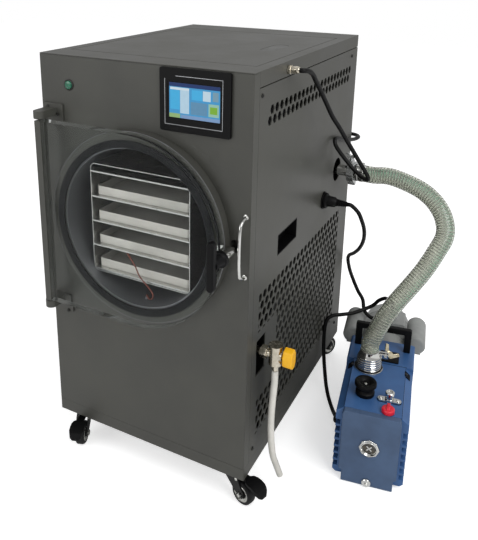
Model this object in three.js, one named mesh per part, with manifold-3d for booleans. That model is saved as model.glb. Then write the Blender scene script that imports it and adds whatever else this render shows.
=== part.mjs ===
// Laboratory freeze dryer: a steel cabinet on casters with a clear-doored vacuum chamber,
// its trays and refrigeration, and the rotary vane vacuum pump that stands beside it.
// Millimetres, +Z up. The cabinet's frame has X to the right across the front, Y to the back
// and Z up from the cabinet's underside; the finished group stands on z = 0, centred.
import * as THREE from "three";
import { mergeVertices } from "three/addons/utils/BufferGeometryUtils.js";
import Module from "manifold-3d";

const wasm = await Module();
wasm.setup();

// ---------- Fits ----------
const SEAT = 0.3; // gap between two pieces that rest on or butt against each other
const RUNNING = 0.08; // radial clearance of a pin that turns in its bore

// ---------- Cabinet ----------
const WIDTH = 450;
const DEPTH = 600;
const HEIGHT = 800;
const SHEET = 2;
const BASE_WALL = 26; // height of the base pan's rim
const BASE_FLOOR = 3;
const FRONT_RETURN = 22; // the front panel's flange round each front corner
const LID_SKIRT = 27.5;
const LID_MARGIN_SIDE = 24; // the line pressed into the lid, from its edges
const LID_MARGIN_FRONT = 62;
const LID_MARGIN_BACK = 90;
const LID_LINE = 2.5;
const LID_LINE_DEPTH = 0.8;
const HATCH = { inset: 87, y: 292, width: 47, length: 138, depth: 1.2 }; // inset from the right
const BACK_SLOT = { count: 7, width: 150, height: 7, pitch: 18, z: 120 };

// ---------- Chamber, rack and trays ----------
const CHAMBER_WALL = 4;
const CHAMBER_BACK_ROOM = 70; // from the closed end to the cabinet's back
const FLANGE_WIDTH = 32; // from the chamber's bore to the flange's rim
const FLANGE_PROUD = 22; // how far the flange stands ahead of the front panel
const RACK_SIDE_ROOM = 45.5; // from the chamber's bore to the rack's side, at mid height
const RACK_TOP_ROOM = 6.3; // how much lower the upper corners lie than they could
const RACK_CORNER = 11;
const RACK_SHEET = 1.5;
const RACK_FRONT = -3;
const RACK_BACK_ROOM = 133; // from the rack to the chamber's closed end
const PROBE_RADIUS = 1.25;
const PROBE = { offset: 7, y: 8, radius: 3.5, proud: 5 }; // feed-through in the chamber's floor
const SHELF_COUNT = 5;
const SHELF_THICKNESS = 3;
const SHELF_FIRST = 6; // top of the lowest shelf above the rack's underside
const SHELF_LAST = 15.2; // top of the highest shelf below the rack's top
const TRAY_SIDE_ROOM = 7.5; // from a tray to the rack's side
const TRAY_HEIGHT = 17.3;
const TRAY_WALL = 1.2;
const TRAY_CORNER = 5;
const TRAY_SETBACK = 9.6; // from the rack's front edge
const TRAY_BACK_ROOM = 10.4; // from a tray to the rack's back edge

// ---------- Door ----------
const DOOR_SIDE_ROOM = 37; // from the cabinet's side to the door's rim
const DOOR_TOP_ROOM = 6; // from the door's rim to the operator panel
const DOOR_LAP = 1; // how far the plate reaches past the flange
const DOOR_THICKNESS = 20;
const SEAL_THICKNESS = 5.4;
const SEAL_WIDTH = 15;
const HINGE_X = 25.5;
const HINGE_WEB = 8; // thickness of the hinge strip's web, which holds the pins
const HINGE_FLANGE = 6; // reach of the strip's flanges over the plate
const HINGE_SHEET = 1.7;
const HINGE_PIN = 2.5; // radius
const HINGE_PIN_REACH = 18; // into the strip
const HINGE_ARM_GAP = 3; // between the strip's end and the bracket's arm
const HINGE_ARM = { radius: 12, height: 15 };
const HINGE_COLLAR = 5; // radius of the thrust collar on the lower pin
const BRACKET = { left: 4, width: 48, height: 42, thickness: 4 };

// ---------- Latch ----------
const LATCH_REACH = 8; // screw axis outside the door's rim
const LATCH_STUD = 4.5; // radius
const LUG = { radius: 11, jaw: 4, grip: 11 };
const LATCH_WASHER = { radius: 15, thickness: 1.6 };
const LATCH_HUB = { radius: 11.5, length: 26 };
const LATCH_BAR = { width: 20, length: 90, thickness: 16 };
const LATCH_TIP = 1.5; // the stud's end stops this far ahead of the front panel
const LATCH_RECESS = { width: 22, height: 25, depth: 22 };
const LATCH_COLLAR = { radius: 7, thickness: 1.5 };

// ---------- Front fittings ----------
const PULL = { inset: 8.5, drop: 51.9, span: 109.6, reach: 28, radius: 4.5, bend: 14, foot: 7 };
const BEZEL = { width: 138, height: 112, corner: 4, thickness: 5.2, right: 39.3, top: 3 };
const SCREEN = { left: 16.3, right: 19.2, low: 24.5, high: 23.5, inset: 1 }; // in the bezel
const BUTTON = { x: 67.9, drop: 56.5, radius: 8, proud: 3.5, length: 14, collar: 3, rise: 1.2 };
const BUTTON_TRAVEL_GAP = 0.3;

// ---------- Right side ----------
const VENT_PITCH = 32;
const VENT_ROW = 26.5;
const VENT_HOLE = 10.8; // centre of a hole to its flats
const VENT_FRONT = 71.5; // first hole's centre, from the front
const VENT_DROP = 96.5; // lower row's centre, below the lid
const VENT_BACK = 58; // steel left behind the last hole
const GRILLE_PITCH = 50;
const GRILLE_HOLE = 17.5;
const GRILLE_FRONT = 76;
const GRILLE_LOW = 99;
const GRILLE_BACK = 52; // steel left behind the last hole
const GRILLE_TOP_ROOM = 119; // from the topmost hole's limit up to the chamber's axis
const GRILLE_KEEP = 6; // steel left round the valve's opening
const VALVE_OPENING = { front: 13.3, back: 27.9, below: 53, above: 23 }; // round the valve
const GRIP = { y0: 130, length: 103, height: 44, drop: 23, depth: 26, wall: 2, lip: 5 };
const PORT_END_ROOM = 36.5; // from the port's axis to the chamber's closed end
const PORT_RISE = 4; // port's axis above the chamber's
const PORT_OPENING = 28; // radius
const PLUG_LENGTH = 57; // from the wall to where the cord leaves the plug
const OUTLET = { ahead: 91.5, drop: 47, radius: 20, body: 14, depth: 22, thickness: 3 };

// ---------- Vacuum port ----------
const PIPE = { radius: 13, wall: 1.5, reach: 37 }; // reach out of the cabinet's side
const KF_FLANGE = { radius: 20, thickness: 3 };
const CLAMP = { radius: 25, width: 16, bore: 15 };
const CUFF = { radius: 20.5, length: 22, step: 2 };
const WING = { span: 26, thickness: 5, height: 11 };
const HOSE_RADIUS = 19.5;

// ---------- Drain valve ----------
const VALVE = { y: 56, reach: 34, drop: 71, radius: 13, height: 38, cap: 2.5, pipe: 7, neck: 8.5 };
const VALVE_HEX = { radius: 12.5, width: 13, gap: 5 };
const BARB = { radius: 6.2, length: 14 };
const LEVER = { stem: 4, stemLength: 12, width: 24, length: 40, thickness: 19, gap: 3 };
const DRAIN_PIPE_BEND = 20;
const DRAIN_HOSE_RADIUS = 6.5;

// ---------- Cable glands ----------
const GLAND = { radius: 9, length: 6, nut: 7.5, nutLength: 16 };
const SENSOR_GLAND = { y: 147, drop: 15 };
const REAR_GLAND = { inset: 38, rise: 52 }; // from the right side, and above the chamber's axis
const SENSOR_CORD_RADIUS = 4;

// ---------- Casters ----------
const CASTER_HEAD = 22; // from the wheel's top to the cabinet's underside
const CASTER_INSET_X = 40;
const CASTER_INSET_Y = 33;
const CASTER_TRAIL = 33;
const WHEEL_RADIUS = 25;
const WHEEL_WIDTH = 20;
const WHEEL_SIDES = 16;
const CASTER_PAD = { size: 56, thickness: 3 };
const KINGPIN = { radius: 5, head: 8, headHeight: 3 };
const FORK = { crown: 19, thickness: 5, leg: 2.2, gap: 1.3, end: 9 };
const AXLE = { radius: 4, nut: 6.5, nutHeight: 3 };
const PEDAL_PIN = { x: 23, z: -15.5 };
const PEDAL = { width: 15, pin: 2.5, reach: 86, thickness: 4 };
const CASTER_TURN = { frontLeft: -68, frontRight: -18, backLeft: 110, backRight: 62 };

// ---------- Refrigeration ----------
const COMPRESSOR = { x: 140, back: 160, radius: 78, height: 190, foot: 60 };
const CONDENSER = { side: 12, thickness: 36, y0: 150, back: 80, drop: 179, fins: 9, finDepth: 5 };
const SHROUD = { rim: 36.5, depth: 14, hub: 20 }; // rim is the least width round its opening
const FAN = { tip: 10, hub: 24, shaft: 4, width: 16, blades: 5, sheet: 3, gap: 2 };

// ---------- Vacuum pump ----------
const PUMP_GAP = 145.8; // from the cabinet's side to the pump's front left corner
const PUMP_Y = 169.2;
const PUMP_TURN = 9.37; // degrees
const PUMP_WIDTH = 104; // raised deck and front cover
const PUMP_DECK = 172;
const PUMP_COVER = 14;
const PUMP_TANK = 190; // back of the oil tank
const PUMP_BACK = 284; // back of the pump block, where the motor is flanged on
const PUMP_SHOULDER = { reach: 13, drop: 14 };
const PUMP_FIN = { low: 24, pitch: 17, groove: 8.5, depth: 9 };
const PUMP_FOOT = 8;
const PUMP_FOOT_SIZE = 26;
const SIGHT_GLASS = { z: 96.6, radius: 19, proud: 5, lens: 11 };
const DRAIN_PLUG = { z: 12, radius: 9, proud: 5 };
const MOTOR = { z: 105, radius: 62, length: 200, cowl: 50 };
const TERMINAL = { left: 12, inset: 16, behind: 54, length: 62, rise: 85 };
const TERMINAL_GLAND = { offset: 18, behind: 80, radius: 8, length: 10 };
const SIDE_GLAND = { behind: 86, rise: 72, radius: 7, length: 12 };
const CAPACITOR = { radius: 22.5, room: 12, rise: 55, behind: 18, length: 100 };
const CAPACITOR_SHELF = 3.2;
const CARRY = { overhang: 10.5, post: 15, depth: 12, height: 58, bar: 14, ahead: 37 };
const INLET = { x: 29, ahead: 25, ring: 25, ringHeight: 5, cuff: 21.5, height: 45 };
const EXHAUST = { x: 31, y: 70, base: 16, waist: 13, cap: 19, height: 28 };
const BALLAST = { inset: 23, y: 60, radius: 7, height: 20, lobe: 17, flange: 4 };
const FILLER = { inset: 23, y: 24, radius: 13, height: 14 };
const PUMP_GLAND = { ahead: 40, z: 24, radius: 7, length: 9 };
const PUMP_CORD_RADIUS = 4;

// ---------- Places that follow from the sizes ----------
const CASTER_HEIGHT = 2 * WHEEL_RADIUS + CASTER_HEAD;
const PUMP_X = WIDTH + PUMP_GAP;
const PANEL_LOW = BASE_WALL + SEAT;
const PANEL_HIGH = HEIGHT - SHEET - SEAT;
const BEZEL_LEFT = WIDTH - BEZEL.right - BEZEL.width;
const BEZEL_LOW = HEIGHT - BEZEL.top - BEZEL.height;
const DOOR_RADIUS = WIDTH / 2 - DOOR_SIDE_ROOM;
const FLANGE_RADIUS = DOOR_RADIUS - DOOR_LAP;
const CHAMBER_RADIUS = FLANGE_RADIUS - FLANGE_WIDTH;
const CHAMBER_OUTER = CHAMBER_RADIUS + CHAMBER_WALL;
const CHAMBER_SIDES = 48;
const CHAMBER_FLAT = CHAMBER_RADIUS * Math.cos(Math.PI / CHAMBER_SIDES);
const CHAMBER_X = WIDTH / 2;
const CHAMBER_Z = BEZEL_LOW - DOOR_TOP_ROOM - DOOR_RADIUS;
const CHAMBER_END = DEPTH - CHAMBER_BACK_ROOM;
const RACK_WIDTH = 2 * (CHAMBER_RADIUS - RACK_SIDE_ROOM);
const CORNER_ACROSS = RACK_WIDTH / 2 - RACK_CORNER;
const CORNER_DROP = Math.sqrt((CHAMBER_FLAT - SEAT - RACK_CORNER) ** 2 - CORNER_ACROSS ** 2);
const RACK_LOW = CHAMBER_Z - CORNER_DROP - RACK_CORNER; // it stands on its rounded lower edges
const RACK_HEIGHT = 2 * (CORNER_DROP + RACK_CORNER) - RACK_TOP_ROOM;
const RACK_BACK = CHAMBER_END - RACK_BACK_ROOM;
const SHELF_PITCH = (RACK_HEIGHT - SHELF_FIRST - SHELF_LAST) / (SHELF_COUNT - 1);
const PORT_Y = CHAMBER_END - PORT_END_ROOM;
const PORT_Z = CHAMBER_Z + PORT_RISE;
const PIPE_END = WIDTH + PIPE.reach;
const OUTLET_Y = PORT_Y - OUTLET.ahead;
const OUTLET_Z = PORT_Z - OUTLET.drop;
const VALVE_X = WIDTH + VALVE.reach;
const VALVE_Z = CHAMBER_Z - CHAMBER_OUTER - VALVE.drop;
const BUTTON_Z = HEIGHT - BUTTON.drop;
const SENSOR_GLAND_Z = HEIGHT - SENSOR_GLAND.drop;
const REAR_GLAND_X = WIDTH - REAR_GLAND.inset;
const REAR_GLAND_Z = CHAMBER_Z + REAR_GLAND.rise;
const PROBE_X = CHAMBER_X + PROBE.offset;
const PROBE_TOP = CHAMBER_Z - CHAMBER_RADIUS + PROBE.proud;
const FLANGE_FACE = -FLANGE_PROUD;
const PLATE_BACK = FLANGE_FACE - SEAT - SEAL_THICKNESS - SEAT;
const PLATE_FRONT = PLATE_BACK - DOOR_THICKNESS;
const HINGE_Y = (PLATE_BACK + PLATE_FRONT) / 2;
const STRIP_LEFT = HINGE_X - HINGE_WEB / 2;
const PLATE_LEFT = HINGE_X + HINGE_WEB / 2 + SEAT;
const DOOR_LOW = CHAMBER_Z - DOOR_RADIUS;
const DOOR_HIGH = CHAMBER_Z + DOOR_RADIUS;
const PLUG_END = WIDTH + PLUG_LENGTH;
const LATCH_X = CHAMBER_X + DOOR_RADIUS + LATCH_REACH;
const LUG_FRONT = PLATE_FRONT - SEAT - LUG.jaw;
const LUG_BACK = PLATE_BACK + SEAT + LUG.jaw;

// ---------- Materials ----------
const paint = (color, roughness, metalness = 0) =>
  new THREE.MeshStandardMaterial({ color, roughness, metalness });
const GREY_PAINT = paint(0x55544e, 0.55, 0.2);
const STEEL = paint(0xb9bab8, 0.35, 0.9);
const CHROME = paint(0xd8d8d6, 0.15, 1);
const TRAY_STEEL = paint(0xdfddd6, 0.4, 0.5);
const CLEAR = paint(0xc9cfcd, 0.05);
CLEAR.transparent = true;
CLEAR.opacity = 0.35;
const RUBBER = paint(0x17181a, 0.7);
const BLACK_PLASTIC = paint(0x141414, 0.45);
const GREEN = paint(0x1f9d6b, 0.35);
const BRASS = paint(0xb7ad96, 0.3, 0.9);
const YELLOW = paint(0xf2b90c, 0.5);
const RED = paint(0xe01f2c, 0.5);
const PUMP_BLUE = paint(0x3c608f, 0.45, 0.1);
const MOTOR_GREY = paint(0xa8abaa, 0.5, 0.2);
const DARK_STEEL = paint(0x2c2d2e, 0.5, 0.6);
const ALUMINIUM = paint(0xb4b6b8, 0.45, 0.8);
const HOSE_CLEAR = paint(0xc3c9bf, 0.3);
const HOSE_WHITE = paint(0xe4e4df, 0.4);
const WIRE_RED = paint(0x9c4a34, 0.6);

// ---------- Geometry helpers ----------
// A closed three.js geometry as a manifold solid.
function solid(geometry) {
  const loose = geometry.index ? geometry.toNonIndexed() : geometry;
  loose.deleteAttribute("normal");
  loose.deleteAttribute("uv");
  const merged = mergeVertices(loose, 1e-4);
  return new wasm.Manifold(
    new wasm.Mesh({
      numProp: 3,
      vertProperties: merged.attributes.position.array,
      triVerts: new Uint32Array(merged.index.array),
    }),
  );
}

const join = (first, ...rest) => rest.reduce((whole, part) => whole.add(part), first);
const cut = (first, ...tools) => tools.reduce((whole, tool) => whole.subtract(tool), first);

function box(x0, x1, y0, y1, z0, z1) {
  const g = new THREE.BoxGeometry(x1 - x0, y1 - y0, z1 - z0);
  return solid(g.translate((x0 + x1) / 2, (y0 + y1) / 2, (z0 + z1) / 2));
}

// Turns a geometry built along +Z so that it runs along the named axis: a drawing's two
// coordinates become Y and Z for "x", X and Z for "y", X and Y for "z".
function along(axis, g) {
  if (axis === "x") {
    return g.applyMatrix4(new THREE.Matrix4().set(0, 0, 1, 0, 1, 0, 0, 0, 0, 1, 0, 0, 0, 0, 0, 1));
  }
  return axis === "y" ? g.rotateX(Math.PI / 2) : g;
}

// A drawing extruded along an axis between two places on it.
function slab(axis, shape, from, to, curveSegments = 6) {
  const g = new THREE.ExtrudeGeometry(shape, {
    depth: to - from,
    bevelEnabled: false,
    curveSegments,
  });
  along(axis, g);
  if (axis === "x") g.translate(from, 0, 0);
  if (axis === "y") g.translate(0, to, 0);
  if (axis === "z") g.translate(0, 0, from);
  return solid(g);
}

// A regular polygon as a closed drawing; radius is to its corners.
function ring(u, v, radius, sides, turn = 0, Kind = THREE.Shape) {
  const points = [];
  for (let i = 0; i < sides; i++) {
    const a = turn + (i * 2 * Math.PI) / sides;
    points.push(new THREE.Vector2(u + radius * Math.cos(a), v + radius * Math.sin(a)));
  }
  return new Kind(points);
}

// A rod along an axis, centred at the other two coordinates.
const rod = (axis, radius, from, to, u, v, sides = 16) =>
  slab(axis, ring(u, v, radius, sides), from, to);

// The corner radius of a polygonal bore in which a round pin of this radius turns freely.
const bore = (radius, sides = 16) => (radius + RUNNING) / Math.cos(Math.PI / sides);

// A profile of [radius, place] points turned about an axis; it starts and ends on the axis,
// or closes on itself when closed is set. Places run from the low end up.
function turned(axis, profile, u, v, sides = 32, closed = false) {
  const points = profile.map(([r, h]) => new THREE.Vector2(r, h));
  if (closed) points.push(points[0].clone());
  const g = new THREE.LatheGeometry(points, sides).rotateX(Math.PI / 2);
  const centre = new THREE.Matrix4().makeTranslation(u, v, 0);
  g.applyMatrix4(centre);
  if (axis === "x") along("x", g);
  const swapped = new THREE.Matrix4().set(1, 0, 0, 0, 0, 0, 1, 0, 0, 1, 0, 0, 0, 0, 0, 1);
  if (axis === "y") g.applyMatrix4(swapped);
  return solid(axis === "y" ? flipped(g) : g);
}

// The same surface with each triangle turned round, for a geometry that has been mirrored.
function flipped(g) {
  const index = g.index.array;
  for (let i = 0; i < index.length; i += 3) {
    [index[i + 1], index[i + 2]] = [index[i + 2], index[i + 1]];
  }
  return g;
}

function roundRect(u0, u1, v0, v1, r, Kind = THREE.Shape) {
  const s = new Kind();
  s.moveTo(u0 + r, v0);
  s.lineTo(u1 - r, v0);
  s.absarc(u1 - r, v0 + r, r, -Math.PI / 2, 0);
  s.lineTo(u1, v1 - r);
  s.absarc(u1 - r, v1 - r, r, 0, Math.PI / 2);
  s.lineTo(u0 + r, v1);
  s.absarc(u0 + r, v1 - r, r, Math.PI / 2, Math.PI);
  s.lineTo(u0, v0 + r);
  s.absarc(u0 + r, v0 + r, r, Math.PI, 1.5 * Math.PI);
  s.closePath();
  return s;
}

const polygon = (points) => new THREE.Shape(points.map(([u, v]) => new THREE.Vector2(u, v)));

// A round section swept along a curve.
function sweep(curve, radius, sides, steps) {
  const section = ring(0, 0, radius, sides);
  return solid(new THREE.ExtrudeGeometry(section, { steps, extrudePath: curve, bevelEnabled: false }));
}

// A cord or hose laid through hand-placed points, with a step every two diameters or so.
function cord(points, radius, sides, stepDiameters = 2.5) {
  const curve = new THREE.CatmullRomCurve3(points.map((p) => new THREE.Vector3(...p)));
  const steps = Math.ceil(curve.getLength() / (stepDiameters * 2 * radius));
  return sweep(curve, radius, sides, steps);
}

// ---------- Assembly ----------
const machine = new THREE.Group(); // the cabinet's frame
const pump = new THREE.Group(); // the pump's own frame: front left corner on the floor
pump.position.set(PUMP_X, PUMP_Y, -CASTER_HEIGHT);
pump.rotation.z = THREE.MathUtils.degToRad(PUMP_TURN);
pump.updateMatrix();
machine.add(pump);

const cordNames = [];

function piece(parent, name, shape, material) {
  const { vertProperties, triVerts } = shape.getMesh();
  const g = new THREE.BufferGeometry();
  g.setAttribute("position", new THREE.BufferAttribute(vertProperties, 3));
  g.setIndex(new THREE.BufferAttribute(triVerts, 1));
  g.computeVertexNormals();
  const mesh = new THREE.Mesh(g, material);
  mesh.name = name;
  parent.add(mesh);
  return mesh;
}

function cordPiece(name, shape, material) {
  cordNames.push(name);
  piece(machine, name, shape, material);
}

const fromPump = (x, y, z) => new THREE.Vector3(x, y, z).applyMatrix4(pump.matrix).toArray();

// ---------- Cabinet shell ----------
function casterPad([x, y]) {
  const half = CASTER_PAD.size / 2;
  const pad = slab(
    "z",
    roundRect(x - half, x + half, y - half, y + half, 4),
    -CASTER_PAD.thickness,
    BASE_FLOOR,
    1,
  );
  const crownLow = -CASTER_PAD.thickness - SEAT - FORK.thickness;
  const headTop = crownLow - SEAT;
  return join(
    pad,
    rod("z", KINGPIN.radius, headTop, 0, x, y, 12),
    rod("z", KINGPIN.head, headTop - KINGPIN.headHeight, headTop, x, y, 12),
  );
}

const CASTER_PLACES = {
  frontLeft: [CASTER_INSET_X, CASTER_INSET_Y],
  frontRight: [WIDTH - CASTER_INSET_X, CASTER_INSET_Y],
  backLeft: [CASTER_INSET_X, DEPTH - CASTER_INSET_Y],
  backRight: [WIDTH - CASTER_INSET_X, DEPTH - CASTER_INSET_Y],
};

function basePan() {
  const pan = cut(
    box(0, WIDTH, 0, DEPTH, 0, BASE_WALL),
    box(SHEET, WIDTH - SHEET, SHEET, DEPTH - SHEET, BASE_FLOOR, BASE_WALL + 1),
  );
  return join(pan, ...Object.values(CASTER_PLACES).map(casterPad));
}

function latchCup(grow, y0, y1) {
  const halfWidth = LATCH_RECESS.width / 2 + grow;
  const halfHeight = LATCH_RECESS.height / 2 + grow;
  const outline = roundRect(
    LATCH_X - halfWidth,
    LATCH_X + halfWidth,
    CHAMBER_Z - halfHeight,
    CHAMBER_Z + halfHeight,
    halfWidth - 0.5,
  );
  return slab("y", outline, y0, y1, 4);
}

function frontPanel() {
  const face = roundRect(0, WIDTH, PANEL_LOW, PANEL_HIGH, 0.5);
  const throat = (CHAMBER_OUTER + SEAT) / Math.cos(Math.PI / CHAMBER_SIDES);
  face.holes.push(ring(CHAMBER_X, CHAMBER_Z, throat, CHAMBER_SIDES, 0, THREE.Path));
  const sheet = slab("y", face, 0, SHEET, 1);
  const left = box(0, SHEET, 0, FRONT_RETURN, PANEL_LOW, PANEL_HIGH);
  const right = box(WIDTH - SHEET, WIDTH, 0, FRONT_RETURN, PANEL_LOW, PANEL_HIGH);
  const buttonCollar = rod(
    "y",
    BUTTON.radius + BUTTON.collar,
    -BUTTON.rise,
    SHEET,
    BUTTON.x,
    BUTTON_Z,
  );
  const buttonHole = rod(
    "y",
    BUTTON.radius + BUTTON_TRAVEL_GAP,
    -BUTTON.rise - 1,
    SHEET + 1,
    BUTTON.x,
    BUTTON_Z,
  );
  return cut(
    join(sheet, left, right, buttonCollar, latchCup(SHEET, 0, LATCH_RECESS.depth + SHEET)),
    buttonHole,
    latchCup(0, -1, LATCH_RECESS.depth),
  );
}

function topCover() {
  const top = box(0, WIDTH, 0, DEPTH, HEIGHT - SHEET, HEIGHT);
  const skirtFront = FRONT_RETURN + SEAT;
  const skirtLow = HEIGHT - LID_SKIRT;
  const left = box(0, SHEET, skirtFront, DEPTH, skirtLow, HEIGHT);
  const right = box(WIDTH - SHEET, WIDTH, skirtFront, DEPTH, skirtLow, HEIGHT);
  const back = box(0, WIDTH, DEPTH - SHEET, DEPTH, skirtLow, HEIGHT);
  const lineFloor = HEIGHT - LID_LINE_DEPTH;
  const [x0, x1] = [LID_MARGIN_SIDE, WIDTH - LID_MARGIN_SIDE];
  const [y0, y1] = [LID_MARGIN_FRONT, DEPTH - LID_MARGIN_BACK];
  const pressed = cut(
    box(x0, x1, y0, y1, lineFloor, HEIGHT + 1),
    box(x0 + LID_LINE, x1 - LID_LINE, y0 + LID_LINE, y1 - LID_LINE, lineFloor - 1, HEIGHT + 1),
  );
  const halfWidth = HATCH.width / 2;
  const halfLength = HATCH.length / 2;
  const hatchX = WIDTH - HATCH.inset;
  const hatch = slab(
    "z",
    roundRect(
      hatchX - halfWidth,
      hatchX + halfWidth,
      HATCH.y - halfLength,
      HATCH.y + halfLength,
      halfWidth - 0.5,
    ),
    HEIGHT - HATCH.depth,
    HEIGHT + 1,
    5,
  );
  return cut(join(top, left, right, back), pressed, hatch);
}

// Left side and back, folded from one sheet.
function rearShell() {
  const sideHigh = HEIGHT - LID_SKIRT - SEAT;
  const left = box(0, SHEET, FRONT_RETURN + SEAT, DEPTH, PANEL_LOW, sideHigh);
  const back = slab(
    "y",
    backSheet(),
    DEPTH - SHEET,
    DEPTH,
    2,
  );
  return join(left, back);
}

function backSheet() {
  const sheet = polygon([
    [0, PANEL_LOW],
    [WIDTH - SHEET - SEAT, PANEL_LOW],
    [WIDTH - SHEET - SEAT, HEIGHT - LID_SKIRT - SEAT],
    [0, HEIGHT - LID_SKIRT - SEAT],
  ]);
  const left = (WIDTH - BACK_SLOT.width) / 2;
  for (let i = 0; i < BACK_SLOT.count; i++) {
    const z = BACK_SLOT.z + i * BACK_SLOT.pitch;
    sheet.holes.push(rectangle(left, left + BACK_SLOT.width, z, z + BACK_SLOT.height));
  }
  return sheet;
}

// Six-sided holes in staggered rows, from the centre (y0, z0) as far back as backLimit;
// keep says which centres get one.
function hexHoles(sheet, y0, z0, pitch, rowPitch, hole, backLimit, rows, keep = () => true) {
  const corner = hole / Math.cos(Math.PI / 6);
  const columns = Math.floor((backLimit - corner - y0) / pitch + 0.5);
  for (let row = 0; row < rows; row++) {
    for (let column = 0; column < columns; column++) {
      const y = y0 + (column + (row % 2) / 2) * pitch;
      const z = z0 + row * rowPitch;
      if (keep(y, z)) sheet.holes.push(ring(y, z, corner, 6, Math.PI / 6, THREE.Path));
    }
  }
}

const rectangle = (y0, y1, z0, z1) =>
  new THREE.Path([
    new THREE.Vector2(y0, z0),
    new THREE.Vector2(y1, z0),
    new THREE.Vector2(y1, z1),
    new THREE.Vector2(y0, z1),
  ]);

function clearOfValve(y, z) {
  const margin = GRILLE_HOLE + GRILLE_KEEP;
  const beside = y < VALVE.y + VALVE_OPENING.back + margin;
  const above = z > VALVE_Z + VALVE_OPENING.above + margin;
  const below = z < VALVE_Z - VALVE_OPENING.below - margin;
  return above || below || !beside;
}

// The side's cut-outs other than the hex holes: valve, grip, vacuum port and mains outlet.
function sideOpenings() {
  const o = VALVE_OPENING;
  const gripHigh = CHAMBER_Z - GRIP.drop;
  return [
    rectangle(VALVE.y - o.front, VALVE.y + o.back, VALVE_Z - o.below, VALVE_Z + o.above),
    rectangle(GRIP.y0, GRIP.y0 + GRIP.length, gripHigh - GRIP.height, gripHigh),
    ring(PORT_Y, PORT_Z, PORT_OPENING, 24, 0, THREE.Path),
    ring(OUTLET_Y, OUTLET_Z, OUTLET.body + SEAT, 20, 0, THREE.Path),
  ];
}

function rightSidePanel() {
  const sheet = polygon([
    [FRONT_RETURN + SEAT, PANEL_LOW],
    [DEPTH, PANEL_LOW],
    [DEPTH, HEIGHT - LID_SKIRT - SEAT],
    [FRONT_RETURN + SEAT, HEIGHT - LID_SKIRT - SEAT],
  ]);
  const ventsLow = HEIGHT - VENT_DROP;
  hexHoles(sheet, VENT_FRONT, ventsLow, VENT_PITCH, VENT_ROW, VENT_HOLE, DEPTH - VENT_BACK, 2);
  const rowPitch = GRILLE_PITCH * Math.sin(Math.PI / 3);
  const highest = CHAMBER_Z - GRILLE_TOP_ROOM - GRILLE_HOLE;
  const rows = Math.floor((highest - GRILLE_LOW) / rowPitch) + 1;
  hexHoles(
    sheet,
    GRILLE_FRONT,
    GRILLE_LOW,
    GRILLE_PITCH,
    rowPitch,
    GRILLE_HOLE,
    DEPTH - GRILLE_BACK,
    rows,
    clearOfValve,
  );
  sheet.holes.push(...sideOpenings());
  return slab("x", sheet, WIDTH - SHEET, WIDTH, 1);
}

piece(machine, "base_pan", basePan(), GREY_PAINT);
piece(machine, "front_panel", frontPanel(), GREY_PAINT);
piece(machine, "top_cover", topCover(), GREY_PAINT);
piece(machine, "rear_shell", rearShell(), GREY_PAINT);
piece(machine, "right_side_panel", rightSidePanel(), GREY_PAINT);

// ---------- Chamber, rack and trays ----------
function vacuumChamber() {
  const inner = CHAMBER_RADIUS;
  const outer = CHAMBER_OUTER;
  const dish = 12; // depth of the dished end
  const floor = CHAMBER_Z - inner - CHAMBER_WALL / 2;
  const probeBoss = rod("z", PROBE.radius, floor, PROBE_TOP, PROBE_X, PROBE.y, 12);
  const shell = turned(
    "y",
    [
      [0, CHAMBER_END - CHAMBER_WALL],
      [inner, CHAMBER_END - CHAMBER_WALL - dish],
      [inner, FLANGE_FACE],
      [FLANGE_RADIUS, FLANGE_FACE],
      [FLANGE_RADIUS, -SEAT],
      [outer, -SEAT],
      [outer, CHAMBER_END - dish],
      [0, CHAMBER_END],
    ],
    CHAMBER_X,
    CHAMBER_Z,
    CHAMBER_SIDES,
  );
  return join(shell, probeBoss);
}

const shelfTop = (i) => RACK_LOW + SHELF_FIRST + i * SHELF_PITCH;

function shelfRack() {
  const half = RACK_WIDTH / 2;
  const inner = half - RACK_SHEET;
  const outline = roundRect(
    CHAMBER_X - half,
    CHAMBER_X + half,
    RACK_LOW,
    RACK_LOW + RACK_HEIGHT,
    RACK_CORNER,
  );
  const filled = slab("y", outline, RACK_FRONT, RACK_BACK, 3);
  outline.holes.push(
    roundRect(
      CHAMBER_X - inner,
      CHAMBER_X + inner,
      RACK_LOW + RACK_SHEET,
      RACK_LOW + RACK_HEIGHT - RACK_SHEET,
      RACK_CORNER - RACK_SHEET,
      THREE.Path,
    ),
  );
  const shelves = [];
  for (let i = 0; i < SHELF_COUNT; i++) {
    const top = shelfTop(i);
    const [x0, x1] = [CHAMBER_X - inner - RACK_SHEET / 2, CHAMBER_X + inner + RACK_SHEET / 2];
    shelves.push(box(x0, x1, RACK_FRONT, RACK_BACK, top - SHELF_THICKNESS, top));
  }
  const frame = slab("y", outline, RACK_FRONT, RACK_BACK, 3);
  return join(frame, join(...shelves).intersect(filled));
}

function tray(shelf) {
  const low = shelfTop(shelf) + SEAT;
  const half = RACK_WIDTH / 2 - TRAY_SIDE_ROOM;
  const front = RACK_FRONT + TRAY_SETBACK;
  const back = RACK_BACK - TRAY_BACK_ROOM;
  const pan = (inset, r) =>
    roundRect(
      CHAMBER_X - half + inset,
      CHAMBER_X + half - inset,
      front + inset,
      back - inset,
      r,
    );
  return cut(
    slab("z", pan(0, TRAY_CORNER), low, low + TRAY_HEIGHT, 2),
    slab("z", pan(TRAY_WALL, TRAY_CORNER - TRAY_WALL), low + TRAY_WALL, low + TRAY_HEIGHT + 1, 2),
  );
}

piece(machine, "vacuum_chamber", vacuumChamber(), STEEL);
piece(machine, "shelf_rack", shelfRack(), STEEL);
for (let i = 0; i < SHELF_COUNT - 1; i++) {
  piece(machine, "tray_" + (i + 1), tray(i), TRAY_STEEL);
}

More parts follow.
